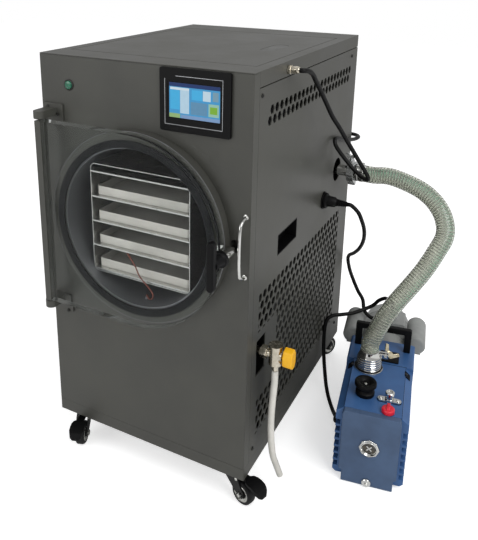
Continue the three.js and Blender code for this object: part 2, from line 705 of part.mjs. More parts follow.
// ---------- Door ----------
function doorPlate() {
  const d = new THREE.Shape();
  d.moveTo(PLATE_LEFT, DOOR_LOW);
  d.lineTo(CHAMBER_X, DOOR_LOW);
  d.absarc(CHAMBER_X, CHAMBER_Z, DOOR_RADIUS, -Math.PI / 2, Math.PI / 2);
  d.lineTo(PLATE_LEFT, DOOR_HIGH);
  d.closePath();
  return slab("y", d, PLATE_FRONT, PLATE_BACK, 28);
}

function hingeStrip() {
  const front = PLATE_FRONT - SEAT - HINGE_SHEET;
  const back = PLATE_BACK + SEAT + HINGE_SHEET;
  const webRight = HINGE_X + HINGE_WEB / 2;
  const edge = webRight + HINGE_FLANGE;
  const channel = polygon([
    [STRIP_LEFT, front],
    [edge, front],
    [edge, front + HINGE_SHEET],
    [webRight, front + HINGE_SHEET],
    [webRight, back - HINGE_SHEET],
    [edge, back - HINGE_SHEET],
    [edge, back],
    [STRIP_LEFT, back],
  ]);
  const depth = HINGE_PIN_REACH + 2;
  return cut(
    slab("z", channel, DOOR_LOW, DOOR_HIGH),
    rod("z", bore(HINGE_PIN), DOOR_LOW - 1, DOOR_LOW + depth, HINGE_X, HINGE_Y),
    rod("z", bore(HINGE_PIN), DOOR_HIGH - depth, DOOR_HIGH + 1, HINGE_X, HINGE_Y),
  );
}

function doorSeal() {
  const back = PLATE_BACK + SEAT;
  const front = back + SEAL_THICKNESS;
  const lip = 2;
  return turned(
    "y",
    [
      [CHAMBER_RADIUS + SEAL_WIDTH, back],
      [CHAMBER_RADIUS + SEAL_WIDTH - lip, front],
      [CHAMBER_RADIUS + lip, front],
      [CHAMBER_RADIUS, back],
    ],
    CHAMBER_X,
    CHAMBER_Z,
    CHAMBER_SIDES,
    true,
  );
}

// A plate on the front panel with an arm that carries the hinge pin. side is 1 for the upper
// bracket and -1 for the lower, whose pin also carries the door's weight on a collar.
function hingeBracket(side) {
  const doorEnd = side > 0 ? DOOR_HIGH : DOOR_LOW;
  const armNear = doorEnd + side * HINGE_ARM_GAP;
  const armFar = armNear + side * HINGE_ARM.height;
  const pinEnd = doorEnd - side * HINGE_PIN_REACH;
  const plateNear = armNear - side * (BRACKET.height - HINGE_ARM.height) * (side > 0 ? 0.7 : 0);
  const plateFar = plateNear + side * BRACKET.height;
  const plateBack = -SEAT;
  const plateFront = plateBack - BRACKET.thickness;
  const plate = slab(
    "y",
    roundRect(
      BRACKET.left,
      BRACKET.left + BRACKET.width,
      Math.min(plateNear, plateFar),
      Math.max(plateNear, plateFar),
      3,
    ),
    plateFront,
    plateBack,
    2,
  );
  const arm = new THREE.Shape();
  arm.moveTo(HINGE_X + HINGE_ARM.radius, plateFront + 1);
  arm.lineTo(HINGE_X - HINGE_ARM.radius, plateFront + 1);
  arm.lineTo(HINGE_X - HINGE_ARM.radius, HINGE_Y);
  arm.absarc(HINGE_X, HINGE_Y, HINGE_ARM.radius, Math.PI, 2 * Math.PI);
  arm.closePath();
  const armSolid = slab("z", arm, Math.min(armNear, armFar), Math.max(armNear, armFar), 8);
  const pin = rod(
    "z",
    HINGE_PIN,
    Math.min(pinEnd, armFar),
    Math.max(pinEnd, armFar),
    HINGE_X,
    HINGE_Y,
  );
  if (side > 0) return join(plate, armSolid, pin);
  return join(
    plate,
    armSolid,
    pin,
    rod("z", HINGE_COLLAR, armNear, doorEnd - SEAT, HINGE_X, HINGE_Y),
  );
}

piece(machine, "door_plate", doorPlate(), CLEAR);
piece(machine, "door_hinge_strip", hingeStrip(), GREY_PAINT);
piece(machine, "door_seal", doorSeal(), RUBBER);
piece(machine, "hinge_bracket_top", hingeBracket(1), GREY_PAINT);
piece(machine, "hinge_bracket_bottom", hingeBracket(-1), GREY_PAINT);

// ---------- Latch ----------
// The lug grips the plate's rim between two jaws and carries the captive clamp screw.
function latchLug() {
  const rim = CHAMBER_X + DOOR_RADIUS;
  const body = new THREE.Shape();
  body.moveTo(rim - LUG.grip, CHAMBER_Z - LUG.radius);
  body.lineTo(LATCH_X, CHAMBER_Z - LUG.radius);
  body.absarc(LATCH_X, CHAMBER_Z, LUG.radius, -Math.PI / 2, Math.PI / 2);
  body.lineTo(rim - LUG.grip, CHAMBER_Z + LUG.radius);
  body.closePath();
  const slot = box(
    rim - LUG.grip - 1,
    rim + SEAT,
    PLATE_FRONT - SEAT,
    PLATE_BACK + SEAT,
    CHAMBER_Z - LUG.radius - 1,
    CHAMBER_Z + LUG.radius + 1,
  );
  return cut(
    slab("y", body, LUG_FRONT, LUG_BACK, 10),
    slot,
    rod("y", bore(LATCH_STUD), LUG_FRONT - 1, LUG_BACK + 1, LATCH_X, CHAMBER_Z),
  );
}

function latchHandle() {
  const washerBack = LUG_FRONT - SEAT;
  const washerFront = washerBack - LATCH_WASHER.thickness;
  const hubFront = washerFront - LATCH_HUB.length;
  const barFront = hubFront - LATCH_BAR.thickness;
  const collarFront = LUG_BACK + SEAT;
  const halfWidth = LATCH_BAR.width / 2;
  const halfLength = LATCH_BAR.length / 2;
  const bar = roundRect(
    LATCH_X - halfWidth,
    LATCH_X + halfWidth,
    CHAMBER_Z - halfLength,
    CHAMBER_Z + halfLength,
    halfWidth - 0.5,
  );
  const turnedRod = (radius, y0, y1) => rod("y", radius, y0, y1, LATCH_X, CHAMBER_Z);
  return join(
    turnedRod(LATCH_STUD, hubFront, -LATCH_TIP),
    turnedRod(LATCH_COLLAR.radius, collarFront, collarFront + LATCH_COLLAR.thickness),
    turnedRod(LATCH_WASHER.radius, washerFront, washerBack),
    turnedRod(LATCH_HUB.radius, hubFront, washerFront),
    slab("y", bar, barFront, hubFront, 4),
  );
}

piece(machine, "latch_lug", latchLug(), CHROME);
piece(machine, "latch_handle", latchHandle(), BLACK_PLASTIC);

// ---------- Front fittings ----------
function pullHandle() {
  const { inset, drop, span, reach, radius, bend, foot } = PULL;
  const x = WIDTH - inset;
  const low = CHAMBER_Z - drop;
  const high = low + span;
  const at = (y, z) => new THREE.Vector3(x, y, z);
  const line = (from, to) => new THREE.LineCurve3(at(...from), at(...to));
  const turn = (from, corner, to) =>
    new THREE.QuadraticBezierCurve3(at(...from), at(...corner), at(...to));
  const path = new THREE.CurvePath();
  path.add(line([-SEAT, low], [bend - reach, low]));
  path.add(turn([bend - reach, low], [-reach, low], [-reach, low + bend]));
  path.add(line([-reach, low + bend], [-reach, high - bend]));
  path.add(turn([-reach, high - bend], [-reach, high], [bend - reach, high]));
  path.add(line([bend - reach, high], [-SEAT, high]));
  return join(
    sweep(path, radius, 8, 14),
    rod("y", foot, -SEAT - 2, -SEAT, x, low),
    rod("y", foot, -SEAT - 2, -SEAT, x, high),
  );
}

// The operator panel: a black bezel with the glass set back in it.
function touchPanel() {
  const right = BEZEL_LEFT + BEZEL.width;
  const high = BEZEL_LOW + BEZEL.height;
  const frame = roundRect(BEZEL_LEFT, right, BEZEL_LOW, high, BEZEL.corner);
  const front = -SEAT - BEZEL.thickness;
  const window = box(
    BEZEL_LEFT + SCREEN.left,
    right - SCREEN.right,
    front - 1,
    front + SCREEN.inset,
    BEZEL_LOW + SCREEN.low,
    high - SCREEN.high,
  );
  return cut(slab("y", frame, front, -SEAT, 3), window);
}

function powerButton() {
  const dome = 0.8;
  return turned(
    "y",
    [
      [0, -BUTTON.proud - dome],
      [BUTTON.radius * 0.7, -BUTTON.proud - dome * 0.6],
      [BUTTON.radius, -BUTTON.proud],
      [BUTTON.radius, BUTTON.length],
      [0, BUTTON.length],
    ],
    BUTTON.x,
    BUTTON_Z,
    24,
  );
}

piece(machine, "pull_handle", pullHandle(), CHROME);
piece(machine, "touch_panel", touchPanel(), BLACK_PLASTIC);
piece(machine, "power_button", powerButton(), GREEN);

// ---------- Right side fittings ----------
// A black moulded pocket set in the side as a grip for moving the cabinet.
function gripPocket() {
  const { y0, length, height, drop, depth, wall, lip } = GRIP;
  const y1 = y0 + length;
  const z1 = CHAMBER_Z - drop;
  const z0 = z1 - height;
  const inside = WIDTH - depth;
  const behind = WIDTH - SHEET - SEAT;
  const inset = SEAT + wall;
  return cut(
    join(
      box(inside, WIDTH, y0 + SEAT, y1 - SEAT, z0 + SEAT, z1 - SEAT),
      box(behind - wall, behind, y0 - lip, y1 + lip, z0 - lip, z1 + lip),
    ),
    box(inside + wall, WIDTH + 1, y0 + inset, y1 - inset, z0 + inset, z1 - inset),
  );
}

// A hexagon nut against the wall and a round cap nut out of which the cord comes.
function glandSolid(axis, outward, wall, u, v) {
  const base = wall + outward * SEAT;
  const shoulder = base + outward * GLAND.length;
  const mouth = shoulder + outward * GLAND.nutLength;
  const span = (a, b) => [Math.min(a, b), Math.max(a, b)];
  return join(
    rod(axis, GLAND.radius, ...span(base, shoulder), u, v, 6),
    rod(axis, GLAND.nut, ...span(shoulder - outward, mouth), u, v, 16),
  );
}

function powerSocket() {
  const { radius, body, depth, thickness } = OUTLET;
  return join(
    rod("x", radius, WIDTH + SEAT, WIDTH + SEAT + thickness, OUTLET_Y, OUTLET_Z, 28),
    rod("x", body, WIDTH - depth, WIDTH + SEAT + 1, OUTLET_Y, OUTLET_Z, 20),
  );
}

function pumpPlug() {
  const face = WIDTH + SEAT + OUTLET.thickness + SEAT;
  return turned(
    "x",
    [
      [0, face],
      [17.5, face],
      [18, face + 5],
      [13, face + 9],
      [11, face + 26],
      [8.5, face + 28],
      [6, PLUG_END],
      [0, PLUG_END],
    ],
    OUTLET_Y,
    OUTLET_Z,
    20,
  );
}

piece(machine, "grip_pocket", gripPocket(), BLACK_PLASTIC);
piece(machine, "cable_gland", glandSolid("x", 1, WIDTH, SENSOR_GLAND.y, SENSOR_GLAND_Z), BRASS);
piece(machine, "rear_gland", glandSolid("y", 1, DEPTH, REAR_GLAND_X, REAR_GLAND_Z), BLACK_PLASTIC);
piece(machine, "power_socket", powerSocket(), BLACK_PLASTIC);
piece(machine, "pump_plug", pumpPlug(), BLACK_PLASTIC);

// ---------- Vacuum port ----------
function vacuumPipe() {
  const wallAt = Math.sqrt(CHAMBER_OUTER ** 2 - (PORT_Z - CHAMBER_Z - PIPE.radius) ** 2);
  const start = CHAMBER_X + Math.max(wallAt, CHAMBER_OUTER) + SEAT;
  const boreRadius = PIPE.radius - PIPE.wall;
  const flangeStart = PIPE_END - KF_FLANGE.thickness;
  return turned(
    "x",
    [
      [boreRadius, start],
      [PIPE.radius, start],
      [PIPE.radius, flangeStart],
      [KF_FLANGE.radius, flangeStart],
      [KF_FLANGE.radius, PIPE_END],
      [boreRadius, PIPE_END],
    ],
    PORT_Y,
    PORT_Z,
    16,
    true,
  );
}

// The hose's steel tail: a flange that meets the pipe's, and a cuff over the hose's end.
const CUFF_START = PIPE_END + SEAT;
const CUFF_END = CUFF_START + KF_FLANGE.thickness + CLAMP.width / 2 + CUFF.length;

function kfClamp() {
  const middle = PIPE_END + SEAT / 2;
  const from = middle - CLAMP.width / 2;
  const to = middle + CLAMP.width / 2;
  const grip = KF_FLANGE.radius + SEAT;
  const ringSolid = turned(
    "x",
    [
      [grip, from],
      [CLAMP.radius, from],
      [CLAMP.radius, to],
      [grip, to],
    ],
    PORT_Y,
    PORT_Z,
    20,
    true,
  );
  const boss = box(from + 2, to - 2, PORT_Y - 26, PORT_Y - 6, PORT_Z + 17, PORT_Z + CLAMP.radius + 8);
  const hinge = rod("x", 6, from, to, PORT_Y + 3, PORT_Z - CLAMP.radius - 2, 12);
  const boltY = PORT_Y - 16;
  const boltTop = PORT_Z + CLAMP.radius + 8;
  const bolt = rod("z", 3.5, boltTop - 2, boltTop + 6, middle, boltY, 12);
  const wing = slab(
    "y",
    polygon([
      [middle - 6, boltTop + 4],
      [middle + 6, boltTop + 4],
      [middle + WING.span / 2, boltTop + 4 + WING.height],
      [middle + WING.span / 2 - 5, boltTop + 6 + WING.height],
      [middle, boltTop + 11],
      [middle - WING.span / 2 + 5, boltTop + 6 + WING.height],
      [middle - WING.span / 2, boltTop + 4 + WING.height],
    ]),
    boltY - WING.thickness / 2,
    boltY + WING.thickness / 2,
  );
  const bored = rod("x", grip, from - 1, to + 1, PORT_Y, PORT_Z, 20);
  return join(cut(join(ringSolid, boss, hinge), bored), bolt, wing);
}

function hoseCuff() {
  const boreRadius = PIPE.radius - PIPE.wall;
  const flangeEnd = CUFF_START + KF_FLANGE.thickness;
  const clampEnd = PIPE_END + SEAT / 2 + CLAMP.width / 2 + SEAT;
  return turned(
    "x",
    [
      [boreRadius, CUFF_START],
      [KF_FLANGE.radius, CUFF_START],
      [KF_FLANGE.radius, flangeEnd],
      [PIPE.radius + CUFF.step, flangeEnd],
      [PIPE.radius + CUFF.step, clampEnd],
      [CUFF.radius, clampEnd + CUFF.step],
      [CUFF.radius, CUFF_END],
      [boreRadius, CUFF_END],
    ],
    PORT_Y,
    PORT_Z,
    16,
    true,
  );
}

piece(machine, "vacuum_pipe", vacuumPipe(), STEEL);
piece(machine, "kf_clamp", kfClamp(), ALUMINIUM);
piece(machine, "hose_cuff", hoseCuff(), STEEL);

// ---------- Drain ----------
function drainValve() {
  const { y, radius, height, cap, pipe } = VALVE;
  const [x, z] = [VALVE_X, VALVE_Z];
  const wallLow = CHAMBER_Z - CHAMBER_OUTER;
  const bend = DRAIN_PIPE_BEND;
  const at = (px, pz) => new THREE.Vector3(px, y, pz);
  const path = new THREE.CurvePath();
  path.add(new THREE.LineCurve3(at(CHAMBER_X, wallLow - SEAT), at(CHAMBER_X, z + bend)));
  path.add(
    new THREE.QuadraticBezierCurve3(at(CHAMBER_X, z + bend), at(CHAMBER_X, z), at(CHAMBER_X + bend, z)),
  );
  const hexStart = WIDTH + VALVE_HEX.gap;
  const hexEnd = hexStart + VALVE_HEX.width;
  path.add(new THREE.LineCurve3(at(CHAMBER_X + bend, z), at(hexStart + 2, z)));
  const bodyLow = z - height / 2;
  const bodyHigh = z + height / 2;
  const outside = join(
    sweep(path, pipe, 8, 10),
    rod("x", VALVE_HEX.radius, hexStart, hexEnd, y, z, 6),
    rod("x", VALVE.neck, hexEnd - 1, x, y, z, 12),
    rod("z", radius, bodyLow, bodyHigh, x, y, 16),
    rod("z", radius + 1, bodyHigh, bodyHigh + cap, x, y, 16),
    rod("z", BARB.radius, bodyLow - BARB.length, bodyLow, x, y, 8),
    rod("x", radius - 3, x, x + radius + 1, y, z, 12),
  );
  const stemHole = rod("x", bore(LEVER.stem, 12), x + 2, x + radius + 2, y, z, 12);
  return cut(outside, stemHole);
}

function drainLever() {
  const { y, radius } = VALVE;
  const [x, z] = [VALVE_X, VALVE_Z];
  const face = x + radius + 1 + LEVER.gap;
  const wing = LEVER.width / 2;
  const half = LEVER.length / 2;
  const outline = polygon([
    [y + wing, z - half * 0.55],
    [y + wing, z + half * 0.45],
    [y + wing * 0.45, z + half],
    [y - wing * 0.6, z + half * 0.8],
    [y - wing, z + half * 0.2],
    [y - wing, z - half * 0.6],
    [y - wing * 0.2, z - half],
    [y + wing * 0.6, z - half * 0.95],
  ]);
  return join(
    slab("x", outline, face, face + LEVER.thickness),
    rod("x", LEVER.stem, x + 3, face + 1, y, z, 12),
  );
}

piece(machine, "drain_valve", drainValve(), BRASS);
piece(machine, "drain_lever", drainLever(), YELLOW);

// ---------- Casters ----------
// Built with the swivel axis on Z, the wheel trailing towards +X and z = 0 at the cabinet's
// underside.
const AXLE_Z = WHEEL_RADIUS - CASTER_HEIGHT;
const LEG_INNER = WHEEL_WIDTH / 2 + FORK.gap;
const CROWN_TOP = -CASTER_PAD.thickness - SEAT;

function casterFork(hasPedal) {
  const crownLow = CROWN_TOP - FORK.thickness;
  const kneeZ = -14;
  const leg = new THREE.Shape();
  leg.moveTo(-FORK.crown + 3, CROWN_TOP);
  leg.lineTo(-FORK.crown + 4, kneeZ);
  leg.lineTo(CASTER_TRAIL - FORK.end, AXLE_Z);
  leg.absarc(CASTER_TRAIL, AXLE_Z, FORK.end, Math.PI, 2 * Math.PI);
  leg.lineTo(CASTER_TRAIL + FORK.end, AXLE_Z + 8);
  leg.lineTo(PEDAL_PIN.x + 6, kneeZ - 4);
  leg.lineTo(FORK.crown, CROWN_TOP);
  leg.closePath();
  const legs = [1, -1].map((side) => {
    const from = side > 0 ? LEG_INNER : -LEG_INNER - FORK.leg;
    return slab("y", leg, from, from + FORK.leg, 3);
  });
  const nutReach = LEG_INNER + FORK.leg + AXLE.nutHeight;
  const axle = rod("y", AXLE.radius, -nutReach, nutReach, CASTER_TRAIL, AXLE_Z, 8);
  const nuts = [1, -1].map((side) => {
    const from = side > 0 ? LEG_INNER + FORK.leg : -nutReach;
    return rod("y", AXLE.nut, from, from + AXLE.nutHeight, CASTER_TRAIL, AXLE_Z, 6);
  });
  const fork = cut(
    join(rod("z", FORK.crown, crownLow, CROWN_TOP, 0, 0, 12), ...legs),
    rod("z", bore(KINGPIN.radius, 12), crownLow - 1, CROWN_TOP + 1, 0, 0, 12),
  );
  const whole = join(fork, axle, ...nuts);
  if (!hasPedal) return whole;
  return cut(
    whole,
    rod("y", bore(PEDAL.pin, 10), -nutReach, nutReach, PEDAL_PIN.x, PEDAL_PIN.z, 10),
  );
}

function casterWheel() {
  const half = WHEEL_WIDTH / 2;
  const hole = bore(AXLE.radius, WHEEL_SIDES);
  const hub = 12;
  return turned(
    "y",
    [
      [hole, -half - 0.6],
      [hub - 4, -half - 0.6],
      [hub, -half + 2.5],
      [WHEEL_RADIUS - 5, -half],
      [WHEEL_RADIUS, -half + 1.5],
      [WHEEL_RADIUS, half - 1.5],
      [WHEEL_RADIUS - 5, half],
      [hub, half - 2.5],
      [hub - 4, half + 0.6],
      [hole, half + 0.6],
    ],
    0,
    0,
    WHEEL_SIDES,
    true,
  );
}

// The brake pedal is pinned between the fork's legs and reaches out past the wheel.
function brakePedal() {
  const half = PEDAL.width / 2;
  const { x, z } = PEDAL_PIN;
  const t = PEDAL.thickness;
  const profile = polygon([
    [x - 5, z - 1],
    [x - 5, z + 3],
    [x + 8, z + 5],
    [x + 36, z + 2],
    [PEDAL.reach, z - 16],
    [PEDAL.reach - 2, z - 16 - t],
    [x + 38, z - 10],
    [x + 30, z - t + 1],
    [x + 8, z + 1],
    [x + 3, z - 2.5],
  ]);
  const pin = rod("y", PEDAL.pin, -LEG_INNER - FORK.leg - 1, LEG_INNER + FORK.leg + 1, x, z, 10);
  return join(slab("y", profile, -half, half), pin);
}

for (const [corner, [x, y]] of Object.entries(CASTER_PLACES)) {
  const caster = new THREE.Group();
  caster.position.set(x, y, 0);
  caster.rotation.z = THREE.MathUtils.degToRad(CASTER_TURN[corner]);
  machine.add(caster);
  const name = corner.replace(/[LR]/, (side) => "_" + side.toLowerCase());
  const hasPedal = corner.startsWith("front");
  piece(caster, "caster_fork_" + name, casterFork(hasPedal), DARK_STEEL);
  const wheel = piece(caster, "caster_wheel_" + name, casterWheel(), RUBBER);
  wheel.position.set(CASTER_TRAIL, 0, AXLE_Z);
  if (hasPedal) piece(caster, "brake_pedal_" + name, brakePedal(), BLACK_PLASTIC);
}

// ---------- Refrigeration, inside the lower cabinet ----------
function compressor() {
  const low = BASE_FLOOR + SEAT;
  const { x, back, radius, height, foot } = COMPRESSOR;
  const y = DEPTH - back;
  const can = turned(
    "z",
    [
      [0, low],
      [radius * 0.8, low],
      [radius * 0.9, low + 12],
      [radius, low + 30],
      [radius, low + height - 45],
      [radius * 0.85, low + height - 15],
      [radius * 0.45, low + height],
      [0, low + height],
    ],
    x,
    y,
    18,
  );
  const plate = slab("z", roundRect(x - radius, x + radius, y - foot, y + foot, 8), low, low + 4, 2);
  return join(can, plate);
}

// The finned condenser stands behind the grille; its shroud carries the fan's motor.
const CONDENSER_RIGHT = WIDTH - CONDENSER.side;
const CONDENSER_LEFT = CONDENSER_RIGHT - CONDENSER.thickness;
const CONDENSER_BACK = DEPTH - CONDENSER.back;
const CONDENSER_TOP = CHAMBER_Z - CONDENSER.drop;
const FAN_PLACE = { y: (CONDENSER.y0 + CONDENSER_BACK) / 2, z: (BASE_FLOOR + CONDENSER_TOP) / 2 };
const SHROUD_OPENING = (CONDENSER_TOP - BASE_FLOOR) / 2 - SHROUD.rim;
const FAN_RADIUS = SHROUD_OPENING - FAN.tip;
const SHROUD_BACK = CONDENSER_LEFT - SHROUD.depth;

function condenser() {
  const { y0, fins, finDepth } = CONDENSER;
  const [x0, x1, y1, z1] = [CONDENSER_LEFT, CONDENSER_RIGHT, CONDENSER_BACK, CONDENSER_TOP];
  const low = BASE_FLOOR + SEAT;
  const pitch = (z1 - low) / (fins + 1);
  const points = [
    [x0, low],
    [x1, low],
  ];
  for (let i = 1; i <= fins; i++) {
    const z = low + i * pitch;
    points.push([x1, z - pitch / 4], [x1 - finDepth, z - pitch / 4]);
    points.push([x1 - finDepth, z + pitch / 4], [x1, z + pitch / 4]);
  }
  points.push([x1, z1], [x0, z1]);
  const core = slab("y", polygon(points), y0, y1);
  const shroud = cut(
    box(SHROUD_BACK, x0 + 1, y0, y1, low, z1),
    rod("x", SHROUD_OPENING, SHROUD_BACK - 1, x0, FAN_PLACE.y, FAN_PLACE.z, 32),
  );
  const motor = rod("x", SHROUD.hub, SHROUD_BACK, x0 + 1, FAN_PLACE.y, FAN_PLACE.z, 20);
  const shaftEnd = SHROUD_BACK - FAN.gap - FAN.width;
  const shaft = rod("x", FAN.shaft, shaftEnd, x0, FAN_PLACE.y, FAN_PLACE.z, 16);
  return join(core, shroud, motor, shaft);
}

// A hub and twisted blades that turn on the motor's shaft.
function fanRotor() {
  const to = SHROUD_BACK - FAN.gap;
  const from = to - FAN.width;
  const hub = rod("x", FAN.hub, from, to, 0, 0, 24);
  const blades = [];
  for (let i = 0; i < FAN.blades; i++) {
    const blade = new THREE.BoxGeometry(FAN.sheet, FAN_RADIUS * 0.55, FAN_RADIUS - FAN.hub + 4);
    blade.rotateZ(Math.PI / 2 - 0.28);
    blade.translate((from + to) / 2, 0, (FAN_RADIUS + FAN.hub - 4) / 2);
    blade.rotateX((i * 2 * Math.PI) / FAN.blades);
    blades.push(solid(blade));
  }
  const limit = rod("x", FAN_RADIUS, from, to, 0, 0, 40);
  const rotor = join(hub, ...blades).intersect(limit);
  return cut(rotor, rod("x", bore(FAN.shaft, 16), from - 1, to + 1, 0, 0, 16));
}

piece(machine, "compressor", compressor(), DARK_STEEL);
piece(machine, "condenser", condenser(), ALUMINIUM);
const fan = piece(machine, "fan_rotor", fanRotor(), DARK_STEEL);
fan.position.set(0, FAN_PLACE.y, FAN_PLACE.z);

// ---------- Vacuum pump ----------
const PUMP_MIDDLE = PUMP_WIDTH / 2;
const PUMP_FINS = Math.floor(
  (PUMP_DECK - PUMP_SHOULDER.drop - PUMP_FIN.low - PUMP_FIN.groove) / PUMP_FIN.pitch,
);
const TERMINAL_LEFT = PUMP_MIDDLE - TERMINAL.left;
const TERMINAL_TOP = MOTOR.z + TERMINAL.rise;
const TOP_GLAND = { x: PUMP_MIDDLE + TERMINAL_GLAND.offset, y: PUMP_BACK + TERMINAL_GLAND.behind };
const LEFT_GLAND = { y: PUMP_BACK + SIDE_GLAND.behind, z: MOTOR.z + SIDE_GLAND.rise };
const INLET_Y = PUMP_TANK - INLET.ahead;
const PUMP_GLAND_Y = PUMP_TANK - PUMP_GLAND.ahead;

function pumpBody() {
  const half = PUMP_WIDTH / 2;
  const wide = half + PUMP_SHOULDER.reach;
  const right = [
    [half, PUMP_DECK],
    [half, PUMP_DECK - 3],
    [wide, PUMP_DECK - PUMP_SHOULDER.drop],
  ];
  for (let i = PUMP_FINS - 1; i >= 0; i--) {
    const z = PUMP_FIN.low + i * PUMP_FIN.pitch;
    right.push([wide, z + PUMP_FIN.groove], [wide - PUMP_FIN.depth, z + PUMP_FIN.groove]);
    right.push([wide - PUMP_FIN.depth, z], [wide, z]);
  }
  right.push([wide, PUMP_FOOT + 6], [wide - 6, PUMP_FOOT]);
  const left = right.map(([x, z]) => [-x, z]).reverse();
  const outline = [...left, ...right].map(([x, z]) => [PUMP_MIDDLE + x, z]).reverse();
  const tank = slab("y", polygon(outline), PUMP_COVER + SEAT, PUMP_TANK);
  const blockHalf = wide + 1;
  const block = slab(
    "y",
    roundRect(PUMP_MIDDLE - blockHalf, PUMP_MIDDLE + blockHalf, PUMP_FOOT, PUMP_DECK, 5),
    PUMP_TANK - 1,
    PUMP_BACK,
    2,
  );
  const feet = [];
  for (const x of [PUMP_MIDDLE - wide + 8, PUMP_MIDDLE + wide - 8 - PUMP_FOOT_SIZE]) {
    for (const y of [PUMP_COVER + 10, PUMP_BACK - 10 - PUMP_FOOT_SIZE]) {
      feet.push(box(x, x + PUMP_FOOT_SIZE, y, y + PUMP_FOOT_SIZE, 0, PUMP_FOOT + 1));
    }
  }
  return join(tank, block, ...feet);
}

// The oil tank's front cover, with the sight glass and the drain plug screwed into it.
function pumpFrontCover() {
  const cover = slab("y", roundRect(0, PUMP_WIDTH, 2, PUMP_DECK, 4), 0, PUMP_COVER, 3);
  const glass = rod("y", SIGHT_GLASS.radius, -SIGHT_GLASS.proud, 1, PUMP_MIDDLE, SIGHT_GLASS.z, 6);
  const lens = rod(
    "y",
    SIGHT_GLASS.lens,
    -SIGHT_GLASS.proud - 1,
    2 - SIGHT_GLASS.proud,
    PUMP_MIDDLE,
    SIGHT_GLASS.z,
    20,
  );
  const plug = rod("y", DRAIN_PLUG.radius, -DRAIN_PLUG.proud, 1, PUMP_MIDDLE, DRAIN_PLUG.z, 6);
  return cut(join(cover, glass, plug), lens);
}

function pumpMotor() {
  const { z, radius, length, cowl } = MOTOR;
  const start = PUMP_BACK + SEAT;
  const end = PUMP_BACK + length;
  const barrel = turned(
    "y",
    [
      [0, start],
      [radius + 3, start],
      [radius + 3, start + 10],
      [radius, start + 12],
      [radius, end - cowl],
      [radius + 2, end - cowl + 1],
      [radius - 6, end],
      [0, end],
    ],
    PUMP_MIDDLE,
    z,
    20,
  );
  const coverFront = PUMP_BACK + TERMINAL.behind;
  const cover = slab(
    "y",
    roundRect(TERMINAL_LEFT, PUMP_MIDDLE + radius - TERMINAL.inset, z, TERMINAL_TOP, 5),
    coverFront,
    coverFront + TERMINAL.length,
    3,
  );
  const topGland = rod(
    "z",
    TERMINAL_GLAND.radius,
    TERMINAL_TOP - 1,
    TERMINAL_TOP + TERMINAL_GLAND.length,
    TOP_GLAND.x,
    TOP_GLAND.y,
    12,
  );
  const sideGland = rod(
    "x",
    SIDE_GLAND.radius,
    TERMINAL_LEFT - SIDE_GLAND.length,
    TERMINAL_LEFT + 1,
    LEFT_GLAND.y,
    LEFT_GLAND.z,
    12,
  );
  const capacitorStart = PUMP_BACK + CAPACITOR.behind;
  const shelfTopZ = z + CAPACITOR.rise - CAPACITOR.radius - SEAT;
  const shelves = [1, -1].map((side) => {
    const inner = PUMP_MIDDLE + side * (radius * 0.75);
    const outer = PUMP_MIDDLE + side * (radius + CAPACITOR.room + CAPACITOR.radius * 0.6);
    return box(
      Math.min(inner, outer),
      Math.max(inner, outer),
      capacitorStart + 8,
      capacitorStart + CAPACITOR.length - 8,
      shelfTopZ - CAPACITOR_SHELF,
      shelfTopZ,
    );
  });
  return join(barrel, cover, topGland, sideGland, ...shelves);
}

function capacitor(side) {
  const { radius, room, rise, behind, length } = CAPACITOR;
  const y0 = PUMP_BACK + behind;
  const y1 = y0 + length;
  return turned(
    "y",
    [
      [0, y0],
      [radius - 3, y0],
      [radius, y0 + 3],
      [radius, y1 - 2],
      [radius - 2, y1],
      [0, y1],
    ],
    PUMP_MIDDLE + side * (MOTOR.radius + room),
    MOTOR.z + rise,
    20,
  );
}

function carryHandle() {
  const half = PUMP_MIDDLE + CARRY.overhang;
  const front = PUMP_BACK - CARRY.ahead;
  const low = PUMP_DECK + SEAT;
  const high = low + CARRY.height;
  const inner = half - CARRY.post;
  const outline = polygon([
    [PUMP_MIDDLE - half, low],
    [PUMP_MIDDLE - inner, low],
    [PUMP_MIDDLE - inner, high - CARRY.bar],
    [PUMP_MIDDLE + inner, high - CARRY.bar],
    [PUMP_MIDDLE + inner, low],
    [PUMP_MIDDLE + half, low],
    [PUMP_MIDDLE + half, high - 3],
    [PUMP_MIDDLE + half - 3, high],
    [PUMP_MIDDLE - half + 3, high],
    [PUMP_MIDDLE - half, high - 3],
  ]);
  return slab("y", outline, front, front + CARRY.depth);
}

const INLET_TOP = PUMP_DECK + SEAT + INLET.height;

function pumpInlet() {
  const low = PUMP_DECK + SEAT;
  const bottom = low + INLET.ringHeight;
  return turned(
    "z",
    [
      [0, low],
      [INLET.ring, low],
      [INLET.ring, bottom],
      [INLET.cuff - 1, bottom + 1],
      [INLET.cuff - 1, bottom + 12],
      [INLET.cuff, bottom + 14],
      [INLET.cuff, INLET_TOP - 3],
      [INLET.cuff - 1, INLET_TOP],
      [0, INLET_TOP],
    ],
    INLET.x,
    INLET_Y,
    18,
  );
}

function exhaustCap() {
  const low = PUMP_DECK + SEAT;
  const top = low + EXHAUST.height;
  return turned(
    "z",
    [
      [0, low],
      [EXHAUST.base, low],
      [EXHAUST.base, low + 8],
      [EXHAUST.waist, low + 12],
      [EXHAUST.waist, top - 12],
      [EXHAUST.cap, top - 8],
      [EXHAUST.cap, top - 1],
      [EXHAUST.cap - 3, top],
      [0, top],
    ],
    EXHAUST.x,
    EXHAUST.y,
    16,
  );
}

